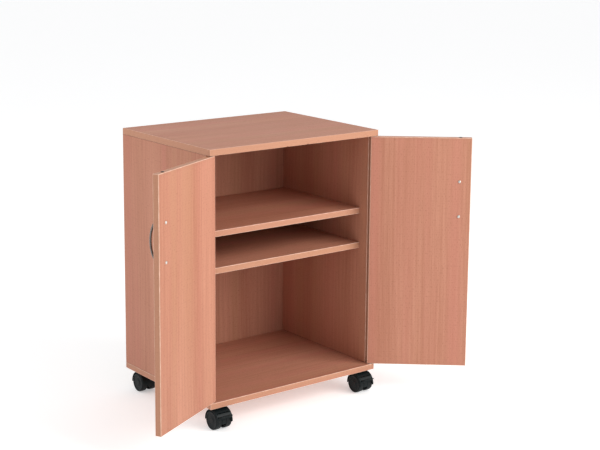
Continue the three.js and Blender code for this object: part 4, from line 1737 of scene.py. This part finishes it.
@dataclass
class Castor:
    """One castor in its place under the base."""

    corner: str
    shapes: CastorShapes
    meshes: dict[str, Mesh]

    @property
    def matrix(self) -> Matrix:
        """From the swivel axis at the floor to the row frame."""
        x, y, _ = joint(f"{self.corner}_castor_swivel")["pos_m"]
        return Matrix.Translation((x, y, 0))

    def build(self) -> None:
        """Makes the castor's pieces, each on its own body."""
        braked = self.corner.startswith("front")
        body = f"{self.corner}_castor"
        hood = "braked_hood" if braked else "plain_hood"
        self._piece(hood, f"{self.corner}_castor_hood", body, BLACK_NYLON, "castor_black")
        self._piece("plate", f"{self.corner}_castor_plate", "cabinet", BLACK_NYLON, "castor_black")
        if braked:
            lever = f"{self.corner}_brake_lever"
            self._piece("lever", lever, f"{self.corner}_brake", BLACK_NYLON, "castor_black")
        axle = Matrix.Translation((0, *self.shapes.axle))
        for side, turn in (("left", math.pi), ("right", 0.0)):
            placed = axle @ Matrix.Rotation(turn, 4, "Z")
            node = f"{self.corner}_castor_{side}_wheel"
            self._piece("wheel", node, f"{self.corner}_{side}_wheel", TREAD_NYLON, "wheel_nylon", placed)

    def _piece(
        self, kind: str, node: str, body: str, finish: Finish, slot: str, placed: Matrix | None = None
    ) -> None:
        """Makes one piece of the castor in place of its CAD node."""
        mesh = moved(self.meshes[kind], self.matrix @ (placed or Matrix.Identity(4)))
        settled(evened(finished(f"{node}_moulded", mesh, [finish])), slot, body, node)


@dataclass
class Undercarriage:
    """All the castors and the screws that hold their plates."""

    copies: NodeRecipe
    corners: tuple[str, ...] = ("front_left", "front_right", "rear_left", "rear_right")
    hole_inset: float = 6.0 * MM
    plate_thickness: float = 2.2 * MM

    def build(self) -> None:
        """Makes the castors, their plate screws and the finish of their steel pins."""
        shapes = CastorShapes()
        low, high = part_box("front_left_castor_plate")
        half = (high.x - low.x) / 2
        thickness = self.plate_thickness
        meshes = {
            "braked_hood": shapes.hood(True),
            "plain_hood": shapes.hood(False),
            "plate": shapes.plate(half, high.z, thickness, self.hole_inset),
            "lever": shapes.lever(),
            "wheel": shapes.wheel(),
        }
        for corner in self.corners:
            Castor(corner, shapes, meshes).build()
        self._plate_screws(half - self.hole_inset, high.z - thickness)
        for node, piece in frame["nodes"].items():
            if node.endswith(("_axle", "_brake_pin")):
                piece.data.materials.clear()
                piece.data.materials.append(ZINC.material())

    def _plate_screws(self, offset: float, seat: float) -> None:
        """The four screws of each plate, heads down."""
        screw = PanScrew(3.6 * MM, 1.8 * MM, 2.0 * MM, 14.0 * MM, 3.8 * MM, 0.8 * MM, 1.2 * MM)
        points, turns = [], []
        for corner in self.corners:
            x, y, _ = joint(f"{corner}_castor_swivel")["pos_m"]
            for i, (s, t) in enumerate(SQUARE):
                points.append(Vector((x + s * offset, y + t * offset, seat)))
                turns.append(Vector((math.pi, 0, 0.4 + 0.9 * i)))
        mesh = placed_copies(self.copies, "castor_plate_screws", screw.mesh(), points, turns, ZINC)
        settled(finished("castor_plate_screws", mesh, [ZINC]), "zinc_steel", "cabinet")


# ---- The cupboard -----------------------------------------------------------------------


@dataclass
class Cupboard:
    """The cupboard's body: its boards and back panel."""

    def build(self) -> None:
        """Makes the boards."""
        boards = [
            FacedBoard("top_panel", "cabinet", Grain.SIDEWAYS, (0.31, 0.12), raw_rear=True),
            FacedBoard("base_panel", "cabinet", Grain.SIDEWAYS, (1.37, 0.55), raw_rear=True),
            FacedBoard(
                "left_side_panel", "cabinet", Grain.UPRIGHT, (2.21, 0.81), raw_rear=True, cut_ends=True
            ),
            FacedBoard(
                "right_side_panel", "cabinet", Grain.UPRIGHT, (3.43, 0.27), raw_rear=True, cut_ends=True
            ),
            FacedBoard("upper_shelf", "cabinet", Grain.SIDEWAYS, (4.19, 0.64), cut_ends=True),
            FacedBoard("lower_shelf", "cabinet", Grain.SIDEWAYS, (5.07, 0.36), cut_ends=True),
            FacedBoard(
                "back_panel",
                "cabinet",
                Grain.UPRIGHT,
                (6.11, 0.48),
                0.2 * MM,
                rear_finish=HARDBOARD,
                slot="back_board",
            ),
        ]
        for board in boards:
            board.build()


# ---- Studio -----------------------------------------------------------------------------


@dataclass
class Studio:
    """The floor, the soft lights and the camera."""

    camera_from_base: tuple[float, float, float] = (-2.1877, -3.0345, 1.2728)
    heading: float = 37.83
    pitch: float = -10.595
    roll: float = 0.495
    lens: float = 84.7
    shift_y: float = -0.1
    surround_light: float = 0.68
    surround_white: float = 1.0

    def build(self) -> None:
        """Sets up the whole studio."""
        self._floor()
        self._world()
        low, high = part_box("base_panel")
        centre = Vector(((low.x + high.x) / 2, (low.y + high.y) / 2, low.z))
        self._camera(centre)
        aim = centre + Vector((0, 0, 0.33))
        self._softbox("key", aim, Vector((1.6, -3.2, 1.9)), (3.0, 2.4), 128.0, (1.0, 0.985, 0.965))
        self._softbox("side", aim, Vector((-1.2, 0.25, 0.75)), (0.9, 0.6), 3.4, (1.0, 0.97, 0.97))

    def _floor(self) -> None:
        """A wide plain floor."""
        bm = bmesh.new()
        bmesh.ops.create_grid(bm, x_segments=1, y_segments=1, size=40.0)
        piece = finished("floor", new_mesh("floor", bm), [StudioPaper("studio_paper")])

    def _world(self) -> None:
        """An even surround, which looks white and lights the stand a little less than white would."""
        world = bpy.data.worlds.new("surround")
        world.use_nodes = True
        tree = world.node_tree
        sky = tree.nodes["Background"]
        sky.inputs["Color"].default_value = (0.985, 0.99, 1.0, 1.0)
        seen = tree.nodes.new("ShaderNodeLightPath")
        span = tree.nodes.new("ShaderNodeMapRange")
        span.inputs["To Min"].default_value = self.surround_light
        span.inputs["To Max"].default_value = self.surround_white
        tree.links.new(seen.outputs["Is Camera Ray"], span.inputs["Value"])
        tree.links.new(span.outputs["Result"], sky.inputs["Strength"])
        scene = bpy.context.scene
        scene.world = world
        scene.view_settings.view_transform = "Standard"
        scene.view_settings.look = "None"

    def _camera(self, centre: Vector) -> None:
        """The camera, whose place is given from the middle of the base's underside."""
        data = bpy.data.cameras.new("camera")
        data.lens = self.lens
        data.shift_y = self.shift_y
        data.dof.use_dof = False
        data.clip_end = 100.0
        camera = bpy.data.objects.new("camera", data)
        bpy.context.scene.collection.objects.link(camera)
        heading, pitch = math.radians(self.heading), math.radians(self.pitch)
        level = math.cos(pitch)
        ahead = Vector((math.sin(heading) * level, math.cos(heading) * level, math.sin(pitch)))
        roll = Matrix.Rotation(math.radians(self.roll), 3, "Z").to_quaternion()
        camera.rotation_mode = "QUATERNION"
        camera.rotation_quaternion = ahead.to_track_quat("-Z", "Y") @ roll
        camera.location = centre + Vector(self.camera_from_base)
        bpy.context.scene.camera = camera

    def _softbox(
        self, name: str, aim: Vector, offset: Vector, size: Point2, watts: float, colour: Colour
    ) -> None:
        """A large rectangular light that faces the stand."""
        data = bpy.data.lights.new(name, "AREA")
        data.shape = "RECTANGLE"
        data.size, data.size_y = size
        data.energy = watts
        data.color = colour
        light = bpy.data.objects.new(name, data)
        light.location = aim + offset
        light.rotation_mode = "QUATERNION"
        light.rotation_quaternion = (-offset).to_track_quat("-Z", "Y")
        light.visible_camera = False
        bpy.context.scene.collection.objects.link(light)


def main() -> None:
    """Builds the stand and its studio, and reports each piece."""
    logging.basicConfig(level=logging.INFO, format="%(name)s: %(message)s")
    copies = copies_recipe()
    bow = bow_recipe()
    screw = PanScrew()
    Studio().build()
    Cupboard().build()
    ShelfPegs().build(copies)
    PivotFittings().build(copies)
    Door("left", (7.3, 0.15), bow, copies, screw).build()
    Door("right", (8.6, 0.75), bow, copies, screw).build()
    Undercarriage(copies).build()


if __name__ == "__main__":
    main()
